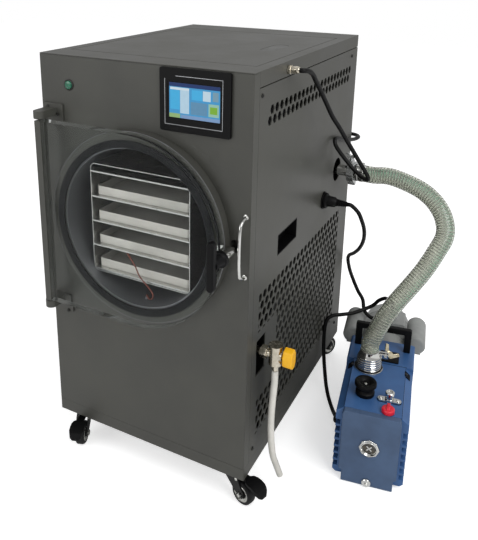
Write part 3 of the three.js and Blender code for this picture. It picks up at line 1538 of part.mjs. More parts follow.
function gasBallastValve() {
  const { inset, y, radius, height, lobe, flange } = BALLAST;
  const x = PUMP_WIDTH - inset;
  const low = PUMP_DECK + SEAT;
  const lobes = new THREE.Shape();
  lobes.absarc(x + lobe, y, radius, -Math.PI / 2, Math.PI / 2);
  lobes.absarc(x - lobe, y, radius, Math.PI / 2, 1.5 * Math.PI);
  lobes.closePath();
  return join(
    slab("z", lobes, low, low + flange, 4),
    rod("z", radius + 1.5, low, low + flange + 3, x, y),
    rod("z", radius, low, low + height, x, y),
  );
}

function fillerCap() {
  const low = PUMP_DECK + SEAT;
  const { inset, y, radius, height } = FILLER;
  const x = PUMP_WIDTH - inset;
  const cap = rod("z", radius, low, low + height - 4, x, y, 20);
  const grip = box(x - radius + 2, x + radius - 2, y - 2.5, y + 2.5, low + 1, low + height);
  return join(cap, grip);
}

piece(pump, "pump_body", join(pumpBody(), pumpGland()), PUMP_BLUE);
piece(pump, "pump_front_cover", pumpFrontCover(), PUMP_BLUE);
piece(pump, "pump_motor", pumpMotor(), MOTOR_GREY);
piece(pump, "capacitor_left", capacitor(-1), MOTOR_GREY);
piece(pump, "capacitor_right", capacitor(1), MOTOR_GREY);
piece(pump, "pump_carry_handle", carryHandle(), BLACK_PLASTIC);
piece(pump, "pump_inlet", pumpInlet(), CHROME);
piece(pump, "exhaust_cap", exhaustCap(), BLACK_PLASTIC);
piece(pump, "gas_ballast_valve", gasBallastValve(), CHROME);
piece(pump, "filler_cap", fillerCap(), RED);

// The low gland on the pump's left side.
function pumpGland() {
  const wall = PUMP_MIDDLE - PUMP_WIDTH / 2 - PUMP_SHOULDER.reach;
  const { z, radius, length } = PUMP_GLAND;
  return rod("x", radius, wall - length, wall + PUMP_FIN.depth + 2, PUMP_GLAND_Y, z, 12);
}

// ---------- Hoses and cords ----------
// Points along each route, in the cabinet's frame. Ends stop short of their fitting by SEAT.
const SENSOR_MOUTH = WIDTH + SEAT + GLAND.length + GLAND.nutLength + SEAT;
const REAR_MOUTH = DEPTH + SEAT + GLAND.length + GLAND.nutLength + SEAT;
const PUMP_WALL_MOUTH = -PUMP_SHOULDER.reach - PUMP_GLAND.length - SEAT;

const vacuumHose = [
  [CUFF_END + SEAT, PORT_Y, PORT_Z],
  [CUFF_END + 20, PORT_Y, PORT_Z],
  [572, 491, 499],
  [612, 486, 493],
  [652, 476, 482],
  [684, 462, 464],
  [706, 446, 438],
  [714, 428, 408],
  [702, 404, 374],
  [685, 383, 338],
  [664, 367, 303],
  [640, 354, 264],
  [619, 343, 223],
  [606, 338, 188],
  fromPump(INLET.x, INLET_Y, INLET_TOP + 16),
  fromPump(INLET.x, INLET_Y, INLET_TOP + SEAT),
];

const sensorCord = [
  [SENSOR_MOUTH, SENSOR_GLAND.y, SENSOR_GLAND_Z],
  [SENSOR_MOUTH + 5, SENSOR_GLAND.y, SENSOR_GLAND_Z],
  [482, 160, 783],
  [484, 180, 775],
  [484, 204, 757],
  [486, 232, 732],
  [489, 260, 704],
  [494, 289, 672],
  [502, 317, 643],
  [510, 345, 612],
  [519, 373, 580],
  [530, 400, 546],
  [538, 418, 522],
  [541, 430, 507],
  [538, 436, 501],
  [530, 436, 503],
  [516, 438, 511],
  [500, 440, 523],
  [484, 439, 540],
  [470, 435, 558],
  [461, 431, 574],
  [458, 436, 583],
  [458, 452, 582],
  [458, 484, 574],
  [458, 524, 562],
  [458, 560, 553],
  [459, 592, 546],
  [461, 612, 544],
  [460, 630, 543],
  [451, 644, 543],
  [436, 649, 543],
  [421, 643, 543],
  [REAR_GLAND_X, REAR_MOUTH + 6, REAR_GLAND_Z],
  [REAR_GLAND_X, REAR_MOUTH, REAR_GLAND_Z],
];

const pumpPowerCord = [
  [PLUG_END + SEAT, OUTLET_Y, OUTLET_Z],
  [PLUG_END + 6, OUTLET_Y, OUTLET_Z],
  [527, 418, 428],
  [533, 434, 403],
  [534, 456, 376],
  [529, 486, 344],
  [518, 520, 309],
  [502, 552, 276],
  [482, 584, 247],
  [466, 603, 229],
  [462, 610, 215],
  [470, 604, 190],
  [486, 590, 168],
  [504, 573, 150],
  [521, 559, 137],
  fromPump(TERMINAL_LEFT - SIDE_GLAND.length - 30, LEFT_GLAND.y + 6, LEFT_GLAND.z + 12),
  fromPump(TERMINAL_LEFT - SIDE_GLAND.length - 12, LEFT_GLAND.y, LEFT_GLAND.z),
  fromPump(TERMINAL_LEFT - SIDE_GLAND.length - SEAT, LEFT_GLAND.y, LEFT_GLAND.z),
];

const pumpLinkCord = [
  fromPump(TOP_GLAND.x, TOP_GLAND.y, TERMINAL_TOP + TERMINAL_GLAND.length + SEAT),
  fromPump(TOP_GLAND.x, TOP_GLAND.y, TERMINAL_TOP + TERMINAL_GLAND.length + 12),
  [599, 541, 152],
  [583, 542, 165],
  [566, 543, 155],
  [552, 543, 137],
  [534, 532, 127],
  [510, 506, 122],
  [488, 488, 121],
  [470, 474, 120],
  [460, 465, 112],
  [457, 460, 98],
  [457, 456, 70],
  [459, 452, 40],
  [464, 444, 12],
  [472, 432, -16],
  [482, 416, -40],
  [494, 398, -55],
  [508, 376, -60],
  [522, 352, -58],
  [533, 332, -52],
  fromPump(PUMP_WALL_MOUTH - 10, PUMP_GLAND_Y, PUMP_GLAND.z),
  fromPump(PUMP_WALL_MOUTH, PUMP_GLAND_Y, PUMP_GLAND.z),
];

const drainHose = [
  [VALVE_X, VALVE.y, VALVE_Z - VALVE.height / 2 - BARB.length - SEAT],
  [VALVE_X, VALVE.y, 200],
  [482, 55, 160],
  [481, 54, 115],
  [482, 56, 70],
  [485, 61, 30],
  [490, 70, 0],
  [495, 79, -28],
];

const probeWire = [
  [PROBE_X, PROBE.y, PROBE_TOP + SEAT],
  [PROBE_X, PROBE.y, PROBE_TOP + 2.5],
  [237, 2, 346.5],
  [245, -4, 344.5],
  [253, -6, 348],
  [256, -7, 357],
  [250, -8, 368],
  [239, -8, 378],
  [226, -8, 391],
  [216, -7, 409],
  [204, -6, 423],
  [192, 2, 426],
  [184, 14, 422],
  [180, 26, 410],
  [178, 34, 398],
];

cordPiece("vacuum_hose", cord(vacuumHose, HOSE_RADIUS, 12, 1.1), HOSE_CLEAR);
cordPiece("sensor_cord", cord(sensorCord, SENSOR_CORD_RADIUS, 6, 3.6), RUBBER);
cordPiece("pump_power_cord", cord(pumpPowerCord, PUMP_CORD_RADIUS, 6, 3.2), RUBBER);
cordPiece("pump_link_cord", cord(pumpLinkCord, PUMP_CORD_RADIUS, 6, 3.2), RUBBER);
cordPiece("drain_hose", cord(drainHose, DRAIN_HOSE_RADIUS, 8, 2), HOSE_WHITE);
cordPiece("probe_wire", cord(probeWire, PROBE_RADIUS, 6, 4), WIRE_RED);

// ---------- The whole, standing on z = 0 and centred on everything but its cords ----------
machine.updateMatrixWorld(true);
const bounds = new THREE.Box3();
machine.traverse((o) => {
  const onCord = cordNames.includes(o.name) || o.name === "pump_plug";
  if (o.isMesh && !onCord) bounds.expandByObject(o, true);
});
const centre = bounds.getCenter(new THREE.Vector3());
machine.position.set(-centre.x, -centre.y, -bounds.min.z);

const freezeDryer = new THREE.Group();
freezeDryer.add(machine);
freezeDryer.updateMatrixWorld(true);

export default freezeDryer;
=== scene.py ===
# Freeze dryer: a steel cabinet on casters with its clear-doored vacuum chamber, and the rotary
# vane pump beside it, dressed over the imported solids. Lengths are millimetres until a piece is
# seated; then they are metres in the solids' own frame.
import math

import bmesh
import bpy
from mathutils import Matrix, Vector


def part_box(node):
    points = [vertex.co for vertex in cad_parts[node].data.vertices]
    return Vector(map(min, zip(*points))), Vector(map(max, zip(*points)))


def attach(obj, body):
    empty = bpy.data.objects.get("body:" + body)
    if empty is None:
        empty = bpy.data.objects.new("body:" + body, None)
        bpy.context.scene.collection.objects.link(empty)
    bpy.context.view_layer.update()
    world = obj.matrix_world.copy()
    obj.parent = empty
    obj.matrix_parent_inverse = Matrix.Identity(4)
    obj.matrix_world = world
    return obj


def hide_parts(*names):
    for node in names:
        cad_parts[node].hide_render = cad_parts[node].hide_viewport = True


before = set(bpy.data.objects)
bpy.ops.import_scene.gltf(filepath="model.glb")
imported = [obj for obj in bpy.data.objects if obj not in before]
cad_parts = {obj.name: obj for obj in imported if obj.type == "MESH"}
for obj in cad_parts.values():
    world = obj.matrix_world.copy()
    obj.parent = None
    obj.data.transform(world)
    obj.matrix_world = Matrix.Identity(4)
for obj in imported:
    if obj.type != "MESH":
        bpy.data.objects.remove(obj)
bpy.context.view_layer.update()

bpy.ops.object.select_all(action="DESELECT")

# ---------- Where the cabinet and the pump stand ----------
# The cabinet is measured from its lower front left corner: X across the front, Y to the back,
# Z up. The pump is measured the same way from its own corner, and stands turned a little.
MM = 0.001
CABINET_HEIGHT = 800
PUMP_CORNER = (595.8, 169.2, -72)
PUMP_TURN = math.radians(9.37)

pan_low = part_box("base_pan")[0]
lid_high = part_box("top_cover")[1]
cabinet = Matrix.Translation((pan_low[0], pan_low[1], lid_high[2] - CABINET_HEIGHT * MM))
pump = cabinet @ Matrix.Translation(Vector(PUMP_CORNER) * MM) @ Matrix.Rotation(PUMP_TURN, 4, "Z")


def at(x, y, z, home=cabinet):
    """A place in millimetres from the home's corner, as metres in the frame of the solids."""
    return home @ (Vector((x, y, z)) * MM)


def places(points, home=cabinet):
    """A row of such places."""
    return [at(*p, home) for p in points]


def span(node, home=cabinet):
    """A solid's lowest, then highest x, y and z, in millimetres in its home."""
    inward = home.inverted()
    points = [inward @ v.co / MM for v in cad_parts[node].data.vertices]
    ends = [(min(p[i] for p in points), max(p[i] for p in points)) for i in range(3)]
    return (*[e[0] for e in ends], *[e[1] for e in ends])


def middle(ends, axis):
    """The middle of a span on that axis."""
    return (ends[axis] + ends[axis + 3]) / 2


# ---------- Camera ----------
# It looks down a little on the cabinet's front right corner from head height, with the frame
# moved down and to the right of the lens axis.
VIEW_AZIMUTH = math.radians(28.05)
VIEW_DROP = math.radians(16.34)
VIEW_ROLL = math.radians(0.465)
level = Matrix.Rotation(VIEW_AZIMUTH, 4, "Z")
tipped = Matrix.Rotation(math.pi / 2 - VIEW_DROP, 4, "X")
bpy.ops.object.camera_add()
camera = bpy.context.object
rolled = Matrix.Rotation(VIEW_ROLL, 4, "Z")
camera.matrix_world = Matrix.Translation(at(870.1, -951.2, 984.9)) @ level @ tipped @ rolled
camera.data.sensor_width = 36
camera.data.lens = 43.68
camera.data.shift_x = 0.0599
camera.data.shift_y = -0.2322
bpy.context.scene.camera = camera


# ---------- Cords: what they share ----------
# Every flexible line is a round section led along one smooth route. Each route is the one its
# solid takes, point by point, and is passed through without a corner.
def add_node(tree, kind, inputs=None, **settings):
    """Adds a node with its settings. Each input gets a value, or the output that feeds it."""
    node = tree.nodes.new(kind)
    for name, value in settings.items():
        setattr(node, name, value)
    for name, value in (inputs or {}).items():
        if isinstance(value, bpy.types.NodeSocket):
            tree.links.new(value, node.inputs[name])
        else:
            node.inputs[name].default_value = value
    return node


def colour(code):
    """An sRGB hex colour as linear red, green, blue and alpha."""
    parts = [int(code[i : i + 2], 16) / 255 for i in (1, 3, 5)]
    return (*[c / 12.92 if c <= 0.04045 else ((c + 0.055) / 1.055) ** 2.4 for c in parts], 1)


def mottle(finish, dark, light, size):
    """Lets the base colour drift between two shades, in patches of that size in millimetres."""
    tree = finish.node_tree
    place = add_node(tree, "ShaderNodeTexCoord")
    noise = add_node(
        tree, "ShaderNodeTexNoise",
        {
            "Vector": place.outputs["Object"], "Scale": 1 / (size * MM), "Detail": 3.0,
            "Roughness": 0.6,
        },
    )
    ramp = add_node(
        tree, "ShaderNodeMapRange",
        {"Value": noise.outputs["Fac"], "From Min": 0.35, "From Max": 0.65},
    )
    mix = add_node(
        tree, "ShaderNodeMix", {0: ramp.outputs[0], 6: colour(dark), 7: colour(light)},
        data_type="RGBA",
    )
    tree.links.new(mix.outputs[2], tree.nodes["Principled BSDF"].inputs["Base Color"])
    return ramp.outputs[0]


def grain(finish, size, depth, strength, stretch=(1, 1, 1)):
    """Gives the surface a fine unevenness of that size and depth in millimetres."""
    tree = finish.node_tree
    place = add_node(tree, "ShaderNodeTexCoord")
    drawn = add_node(
        tree, "ShaderNodeMapping", {"Vector": place.outputs["Object"], "Scale": stretch},
    )
    noise = add_node(
        tree, "ShaderNodeTexNoise",
        {"Vector": drawn.outputs["Vector"], "Scale": 1 / (size * MM), "Detail": 2.0},
    )
    bump = add_node(
        tree, "ShaderNodeBump",
        {"Height": noise.outputs["Fac"], "Distance": depth * MM, "Strength": strength},
    )
    tree.links.new(bump.outputs["Normal"], tree.nodes["Principled BSDF"].inputs["Normal"])
    return noise.outputs["Fac"]


def new_finish(name, base, roughness, metallic=0.0, patches=(), texture=(), spread=(), **more):
    """A material with one Principled shader.

    Its colour may drift in patches (dark, light, size), and its surface may carry a texture
    (size, depth, strength, stretch). The roughness may spread between two values, as the
    patches or else the texture run."""
    finish = bpy.data.materials.new(name)
    finish.use_nodes = True
    finish.diffuse_color = colour(base)
    tree = finish.node_tree
    shader = tree.nodes["Principled BSDF"]
    shader.inputs["Base Color"].default_value = colour(base)
    shader.inputs["Roughness"].default_value = roughness
    shader.inputs["Metallic"].default_value = metallic
    for socket, value in more.items():
        shader.inputs[socket.replace("_", " ")].default_value = value
    drift = mottle(finish, *patches) if patches else None
    relief = grain(finish, *texture) if texture else None
    if spread:
        low, high = spread
        pattern = drift if patches else relief
        rough = add_node(
            tree, "ShaderNodeMapRange", {"Value": pattern, "To Min": low, "To Max": high},
        )
        tree.links.new(rough.outputs[0], shader.inputs["Roughness"])
    return finish


def route(points, steps=8):
    """The smooth line through the points: a centripetal spline, with its ends led on straight."""
    p = [2 * points[0] - points[1], *points, 2 * points[-1] - points[-2]]
    line = []
    for a, b, c, d in zip(p, p[1:], p[2:], p[3:]):
        ab, bc, cd = [max((v - u).length, 1e-6) ** 0.5 for u, v in ((a, b), (b, c), (c, d))]
        out = ((b - a) / ab - (c - a) / (ab + bc) + (c - b) / bc) * bc
        into = ((c - b) / bc - (d - b) / (bc + cd) + (d - c) / cd) * bc
        for i in range(steps):
            t = i / steps
            ease_in = 3 * t**2 - 2 * t**3
            place = b * (1 - ease_in) + c * ease_in
            line.append(place + out * (t**3 - 2 * t**2 + t) + into * (t**3 - t**2))
    return [*line, points[-1].copy()]


def new_piece(name, data):
    """A new object that shows this curve or mesh."""
    piece = bpy.data.objects.new(name, data)
    bpy.context.scene.collection.objects.link(piece)
    return piece


def round_line(name, line, radius, resolution=6):
    """A curve of one open spline along the line, round, of that radius in millimetres."""
    data = bpy.data.curves.new(name, "CURVE")
    data.dimensions = "3D"
    data.bevel_depth = radius * MM
    data.bevel_resolution = resolution
    data.use_fill_caps = True
    spline = data.splines.new("POLY")
    spline.points.add(len(line) - 1)
    for point, p in zip(spline.points, line):
        point.co = (*p, 1)
    spline.use_smooth = True
    return new_piece(name, data)


def focus(*pieces):
    """Selects these pieces and nothing else; the last is the active one."""
    bpy.ops.object.select_all(action="DESELECT")
    for piece in pieces:
        piece.select_set(True)
    bpy.context.view_layer.objects.active = pieces[-1]


def fix_place():
    """Moves the place, turn and scale of the piece at hand into its mesh."""
    bpy.ops.object.transform_apply(location=True, rotation=True, scale=True)


def smooth(piece, angle):
    """Shades the piece smooth, except across edges sharper than the angle in degrees."""
    focus(piece)
    bpy.ops.object.shade_smooth_by_angle(angle=math.radians(angle))


def meshed(piece):
    """The curve as a mesh."""
    focus(piece)
    bpy.ops.object.convert(target="MESH")
    return bpy.context.object


def give(piece, finish, stands_for=None, body="cabinet"):
    """Gives the piece its finish, the solid it stands for and the body it rides."""
    piece.data.materials.clear()
    piece.data.materials.append(finish)
    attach(piece, body)
    if stands_for:
        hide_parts(stands_for)
    return piece


def frames(line):
    """The line's points, each with two directions across it that never twist about it."""
    across = (line[1] - line[0]).orthogonal().normalized()
    result = []
    for i, p in enumerate(line):
        along = (line[min(i + 1, len(line) - 1)] - line[max(i - 1, 0)]).normalized()
        across = (across - along * across.dot(along)).normalized()
        result.append((p, across, along.cross(across)))
    return result


# ---------- Vacuum hose ----------
# Clear flexible PVC with a steel wire wound into its wall against collapse, and one green line
# along it. Its ends are held in steel tails: one on the chamber's port, one on the pump.
CORD_GAP = 0.3  # between any cord's end and what holds it
PORT_PLACE = (493.5, 495)  # of the port's axis on the cabinet's side
HOSE_RADIUS, HOSE_WALL = 19.5, 3.2
WIRE_RADIUS, WIRE_PITCH = 0.9, 6.6
GREEN_SIDE = 0.93  # share of a turn round the section
GREEN_RADIUS, GREEN_DEPTH = 1.6, 1.4  # the line's own section, and how deep its middle lies

hose_end = span("pump_inlet", pump)
INLET_AXIS = (middle(hose_end, 0), middle(hose_end, 1))
cuff = span("hose_cuff")
hose_route = route(
    [
        at(cuff[3] + CORD_GAP, *PORT_PLACE),
        *places(
            (
                (cuff[3] + 20, *PORT_PLACE), (572, 491, 499), (612, 486, 493), (652, 476, 482),
                (684, 462, 464), (706, 446, 438), (714, 428, 408), (702, 404, 374),
                (685, 383, 338), (664, 367, 303), (640, 354, 264), (619, 343, 223),
                (606, 338, 188),
            )
        ),
        at(*INLET_AXIS, hose_end[5] + 16, pump), at(*INLET_AXIS, hose_end[5] + CORD_GAP, pump),
    ]
)


def tube_mesh(name, line, outer, inner, sides=32):
    """A hose with a bore, with a UV map that runs once round it and in metres along it."""
    vertices, faces, uvs = [], [], []
    rings = frames(line)
    run = [0.0]
    for a, b in zip(line, line[1:]):
        run.append(run[-1] + (b - a).length)
    for radius in (outer, inner):
        for p, across, up in rings:
            for k in range(sides):
                turn = 2 * math.pi * k / sides
                vertices.append(p + (across * math.cos(turn) + up * math.sin(turn)) * radius * MM)
    count = len(rings)
    for wall in (0, 1):
        first = wall * count * sides
        for i in range(count - 1):
            for k in range(sides):
                corners = [(i, k), (i + 1, k), (i + 1, k + 1), (i, k + 1)]
                if wall == 0:
                    corners.reverse()
                faces.append([first + a * sides + b % sides for a, b in corners])
                uvs.extend((b / sides, run[a]) for a, b in corners)
    for i, flip in ((0, False), (count - 1, True)):
        for k in range(sides):
            corners = [(0, k), (0, k + 1), (1, k + 1), (1, k)]
            if flip:
                corners.reverse()
            faces.append([w * count * sides + i * sides + b % sides for w, b in corners])
            uvs.extend((b / sides, run[i]) for w, b in corners)
    mesh = bpy.data.meshes.new(name)
    mesh.from_pydata(vertices, [], faces)
    mapping = mesh.uv_layers.new(name="along")
    for corner, uv in zip(mapping.data, uvs):
        corner.uv = uv
    mesh.shade_smooth()
    return new_piece(name, mesh)


# Plasticised PVC: clear and glossy, a little milky from extrusion, tinted beside the green line.
clear_pvc = new_finish(
    "clear_pvc", "#dfe2d9", 0.1, IOR=1.3, Transmission_Weight=0.86, Specular_IOR_Level=0.7,
)
tree = clear_pvc.node_tree
along = add_node(tree, "ShaderNodeUVMap", uv_map="along")
parts = add_node(tree, "ShaderNodeSeparateXYZ", {0: along.outputs["UV"]})
off_line = add_node(
    tree, "ShaderNodeMath", {0: parts.outputs["X"], 1: GREEN_SIDE}, operation="SUBTRACT",
)
reach = add_node(tree, "ShaderNodeMath", {0: off_line.outputs[0]}, operation="ABSOLUTE")
tint = add_node(
    tree, "ShaderNodeMapRange",
    {"Value": reach.outputs[0], "From Min": 0.03, "From Max": 0.19, "To Min": 1.0, "To Max": 0.0},
)
tinted = add_node(
    tree, "ShaderNodeMix", {0: tint.outputs[0], 6: colour("#dee0d6"), 7: colour("#7cc0a2")},
    data_type="RGBA",
)
tree.links.new(tinted.outputs[2], tree.nodes["Principled BSDF"].inputs["Base Color"])
grain(clear_pvc, 5, 0.15, 0.3)


def let_lamps_through(finish, share):
    """Lamps light what is behind the clear wall, as they do behind real glass."""
    tree = finish.node_tree
    light = add_node(tree, "ShaderNodeLightPath")
    clear = add_node(tree, "ShaderNodeBsdfTransparent", {"Color": (share, share, share, 1)})
    shader = tree.nodes["Principled BSDF"]
    mix = add_node(
        tree, "ShaderNodeMixShader",
        {0: light.outputs["Is Shadow Ray"], 1: shader.outputs[0], 2: clear.outputs[0]},
    )
    tree.links.new(mix.outputs[0], tree.nodes["Material Output"].inputs["Surface"])


let_lamps_through(clear_pvc, 0.75)

vacuum_hose = tube_mesh("vacuum_hose_wall", hose_route, HOSE_RADIUS, HOSE_RADIUS - HOSE_WALL)
give(vacuum_hose, clear_pvc, "vacuum_hose")

# Drawn spring steel, bright, seen through the wall.
hose_steel = new_finish("drawn_wire", "#bdbdb5", 0.42, 1.0, texture=(3, 0.1, 0.3))

# Green pigmented PVC, coextruded with the wall.
line_green = new_finish("green_line", "#2d7d5c", 0.3, patches=("#28724f", "#37906b", 12))


def beside(line, radius, turns_at):
    """A line that goes round another at that radius; turns_at gives its turns at each length."""
    run = 0.0
    result = []
    last = line[0]
    for p, across, up in frames(line):
        run += (p - last).length
        last = p
        turn = 2 * math.pi * turns_at(run)
        result.append(p + (across * math.cos(turn) + up * math.sin(turn)) * radius * MM)
    return result


def evenly(line, step):
    """The line again, with points that many millimetres apart."""
    result = [line[0].copy()]
    left = step * MM
    for a, b in zip(line, line[1:]):
        gap = (b - a).length
        done = 0.0
        while gap - done >= left:
            done += left
            result.append(a.lerp(b, done / gap))
            left = step * MM
        left -= gap - done
    return result


fine_route = evenly(hose_route, WIRE_PITCH / 20)[8:-8]
wire_line = beside(fine_route, HOSE_RADIUS - HOSE_WALL / 2, lambda run: run / (WIRE_PITCH * MM))
hose_wire = meshed(round_line("vacuum_hose_wire", wire_line, WIRE_RADIUS, 1))
give(hose_wire, hose_steel)

line_path = beside(evenly(hose_route, 5), HOSE_RADIUS - GREEN_DEPTH, lambda run: GREEN_SIDE)
hose_line = meshed(round_line("vacuum_hose_line", line_path, GREEN_RADIUS, 2))
give(hose_line, line_green)

# ---------- Sensor cord and the pump's cords ----------
# Round three-core flex in black PVC. The sensor cord leaves the gland on the right side, goes
# round the rear edge and ends in a gland on the back. One power cord runs from the plug to the
# motor's box, the other from the motor's box down beside the cabinet to the pump's side.
CORD_RADIUS = 4.6
OUTLET_PLACE = (402, 448)  # of the outlet's axis on the cabinet's side
black_pvc = new_finish(
    "black_pvc_sheath", "#030303", 0.5, Specular_IOR_Level=0.22, texture=(2.5, 0.08, 0.3),
    spread=(0.4, 0.54),
)

gland = span("cable_gland")
back_gland = span("rear_gland")
sensor_route = route(
    [
        at(gland[3] + CORD_GAP, 147, 785), at(gland[3] + 5.3, 147, 785),
        *places(
            (
                (482, 160, 783), (484, 180, 775), (484, 204, 757), (486, 232, 732),
                (489, 260, 704), (494, 289, 672), (502, 317, 643), (510, 345, 612),
                (519, 373, 580), (530, 400, 546), (538, 418, 522), (541, 430, 507),
                (538, 436, 501), (530, 436, 503), (516, 438, 511), (500, 440, 523),
                (484, 439, 540), (470, 435, 558), (461, 431, 574), (458, 436, 583),
                (458, 452, 582), (458, 484, 574), (458, 524, 562), (458, 560, 553),
                (459, 592, 546), (461, 612, 544), (460, 630, 543), (451, 644, 543),
                (436, 649, 543), (421, 643, 543),
            )
        ),
        at(412, back_gland[4] + 6.3, 543), at(412, back_gland[4] + CORD_GAP, 543),
    ]
)

plug_end = span("pump_plug")[3]
power_route = route(
    [
        at(plug_end + CORD_GAP, *OUTLET_PLACE), at(plug_end + 6, *OUTLET_PLACE),
        *places(
            (
                (527, 418, 428), (533, 434, 403), (534, 456, 376), (529, 486, 344),
                (518, 520, 309), (502, 552, 276), (482, 584, 247), (466, 603, 229),
                (462, 610, 215), (470, 604, 190), (486, 590, 168), (504, 573, 150),
                (521, 559, 137),
            )
        ),
        at(-2, 376, 189, pump), at(16, 370, 177, pump), at(27.7, 370, 177, pump),
    ]
)
link_route = route(
    [
        at(70, 364, 200.3, pump), at(70, 364, 212, pump),
        *places(
            (
                (599, 541, 152), (583, 542, 165), (566, 543, 155), (552, 543, 137),
                (534, 532, 127), (510, 506, 122), (488, 488, 121), (470, 474, 120),
                (460, 465, 112), (457, 460, 98), (457, 456, 70), (459, 452, 40), (464, 444, 12),
                (472, 432, -16), (482, 416, -40), (494, 398, -55), (508, 376, -60),
                (522, 352, -58), (533, 332, -52),
            )
        ),
        at(-32.3, 150, 24, pump), at(-22.3, 150, 24, pump),
    ]
)


def settle(piece, name, finish, stands_for=None, body="cabinet", home=cabinet):
    """Names a shaped piece, moves it from its home into the solids' frame, and dresses it.

    A copy of a solid is there already, and its home is None."""
    focus(piece)
    fix_place()
    if home:
        piece.data.transform(home)
    piece.name = piece.data.name = name
    return give(piece, finish, stands_for, body)


def turned(axis, u, v, outline, sides=64, bored=False):
    """A turned piece: a circle drawn out through each (distance, radius) along the axis.

    u and v are its centre on the other two axes. A bored outline comes back to its start."""
    (start, radius), *rest = [(d * MM, r * MM) for d, r in outline]
    bpy.ops.object.select_all(action="DESELECT")
    bpy.ops.mesh.primitive_circle_add(
        vertices=sides, radius=radius, fill_type="NOTHING" if bored else "NGON",
        enter_editmode=True,
    )
    bpy.ops.transform.translate(value=(0, 0, start))
    along, first = start, (start, radius)
    for distance, size in [*rest, first] if bored else rest:
        bpy.ops.mesh.extrude_region_move(
            TRANSFORM_OT_translate={"value": (0, 0, distance - along)}
        )
        scale = size / radius
        bpy.ops.transform.resize(value=(scale, scale, 1), center_override=(0, 0, distance))
        along, radius = distance, size
    bpy.ops.mesh.select_all(action="SELECT")
    bpy.ops.mesh.remove_doubles(threshold=1e-6)
    bpy.ops.mesh.normals_make_consistent(inside=False)
    bpy.ops.object.mode_set(mode="OBJECT")
    piece = bpy.context.object
    piece.rotation_euler = {
        "x": (0, math.pi / 2, 0), "y": (-math.pi / 2, 0, 0), "z": (0, 0, 0),
    }[axis]
    piece.location = Vector({"x": (0, u, v), "y": (u, 0, v), "z": (u, v, 0)}[axis]) * MM
    fix_place()
    return piece


# Glass-filled nylon, moulded: black, even, with a fine spark-eroded texture.
moulded_black = new_finish(
    "moulded_nylon", "#040405", 0.52, Specular_IOR_Level=0.16, texture=(1.8, 0.05, 0.4),
    spread=(0.44, 0.58),
)

# The plug's waisted body ends in a tapered strain relief with ribs.
plug_box = span("pump_plug")
PLUG_Y, PLUG_Z = middle(plug_box, 1), middle(plug_box, 2)
plug_start = plug_box[0]
relief = [
    (plug_start, 16.5), (plug_start + 1, 17.8), (plug_start + 5, 17.8), (plug_start + 8, 13.2),
]
relief += [(plug_start + 12, 12.4), (plug_start + 24, 11.4), (plug_start + 27, 9)]
for i in range(6):
    start = plug_start + 28 + i * 4
    taper = 8.4 - 0.45 * i
    relief += [
        (start, taper), (start + 2.4, taper), (start + 2.6, taper - 1.6),
        (start + 3.8, taper - 1.6),
    ]
relief.append((plug_box[3], 5.2))
plug = turned("x", PLUG_Y, PLUG_Z, relief, 40)
smooth(plug, 35)
settle(plug, "pump_plug_body", moulded_black, "pump_plug")

for name, line, on_it in (
    ("sensor_cord", sensor_route, ()), ("pump_power_cord", power_route, (plug,)),
    ("pump_link_cord", link_route, ()),
):
    sheath = round_line(name + "_sheath", line, CORD_RADIUS)
    give(sheath, black_pvc, name)

# ---------- Drain hose ----------
# Soft silicone tube, milky and open at its lower end, pushed over the drain valve's barb.
DRAIN_RADIUS, DRAIN_BORE = 6.5, 4.6
milky_silicone = new_finish(
    "milky_silicone", "#cfcdc6", 0.4, Specular_IOR_Level=0.35, patches=("#c9c7c0", "#d6d4cd", 30),
)
valve = span("drain_valve")
drain_route = route(
    places(
        (
            (484, 56, valve[2] - CORD_GAP), (484, 56, 200), (482, 55, 160), (481, 54, 115),
            (482, 56, 70), (485, 61, 30), (490, 70, 0), (495, 79, -28),
        )
    )
)
drain_hose = tube_mesh("drain_hose_wall", drain_route, DRAIN_RADIUS, DRAIN_BORE, 20)
give(drain_hose, milky_silicone, "drain_hose")

# ---------- Temperature probe ----------
# A thin red-brown insulated wire from the chamber's floor up over the rack's front into the lowest
# tray. Its bare welded tip is not drawn.
PROBE_RADIUS = 1.25
red_brown_wire = new_finish(
    "fluoropolymer_wire", "#a2553d", 0.4, patches=("#6b3327", "#7f4436", 20),
)
probe_route = route(
    places(
        (
            (232, 8, 341.3), (232, 8, 343.5), (237, 2, 346.5), (245, -4, 344.5), (253, -6, 348),
            (256, -7, 357), (250, -8, 368), (239, -8, 378), (226, -8, 391), (216, -7, 409),
            (204, -6, 423), (192, 2, 426), (184, 14, 422), (180, 26, 410), (178, 34, 398),
        )
    )
)
probe = round_line("probe_wire_sheath", probe_route, PROBE_RADIUS, 3)
give(probe, red_brown_wire, "probe_wire")

# ---------- Cabinet sheets ----------
# The front, lid, left side with back, and base pan are folded from 2 mm steel sheet and powder
# coated in one warm dark grey. The coat is semi-matt, with a faint orange peel from baking.
# The real peel is under 1 mm; it is drawn at 2 mm to show.
powder_coat = new_finish(
    "powder_coat_grey", "#41413d", 0.42, Specular_IOR_Level=0.4,
    patches=("#3e3e3a", "#44443f", 140), texture=(2.2, 0.05, 0.35), spread=(0.38, 0.46),
)


def modify(piece, kind, **settings):
    """Shapes the piece by one modifier with these settings."""
    focus(piece)
    modifier = piece.modifiers.new(kind.lower(), kind)
    for name, value in settings.items():
        setattr(modifier, name, value)
    bpy.ops.object.modifier_apply(modifier=modifier.name)
    return piece


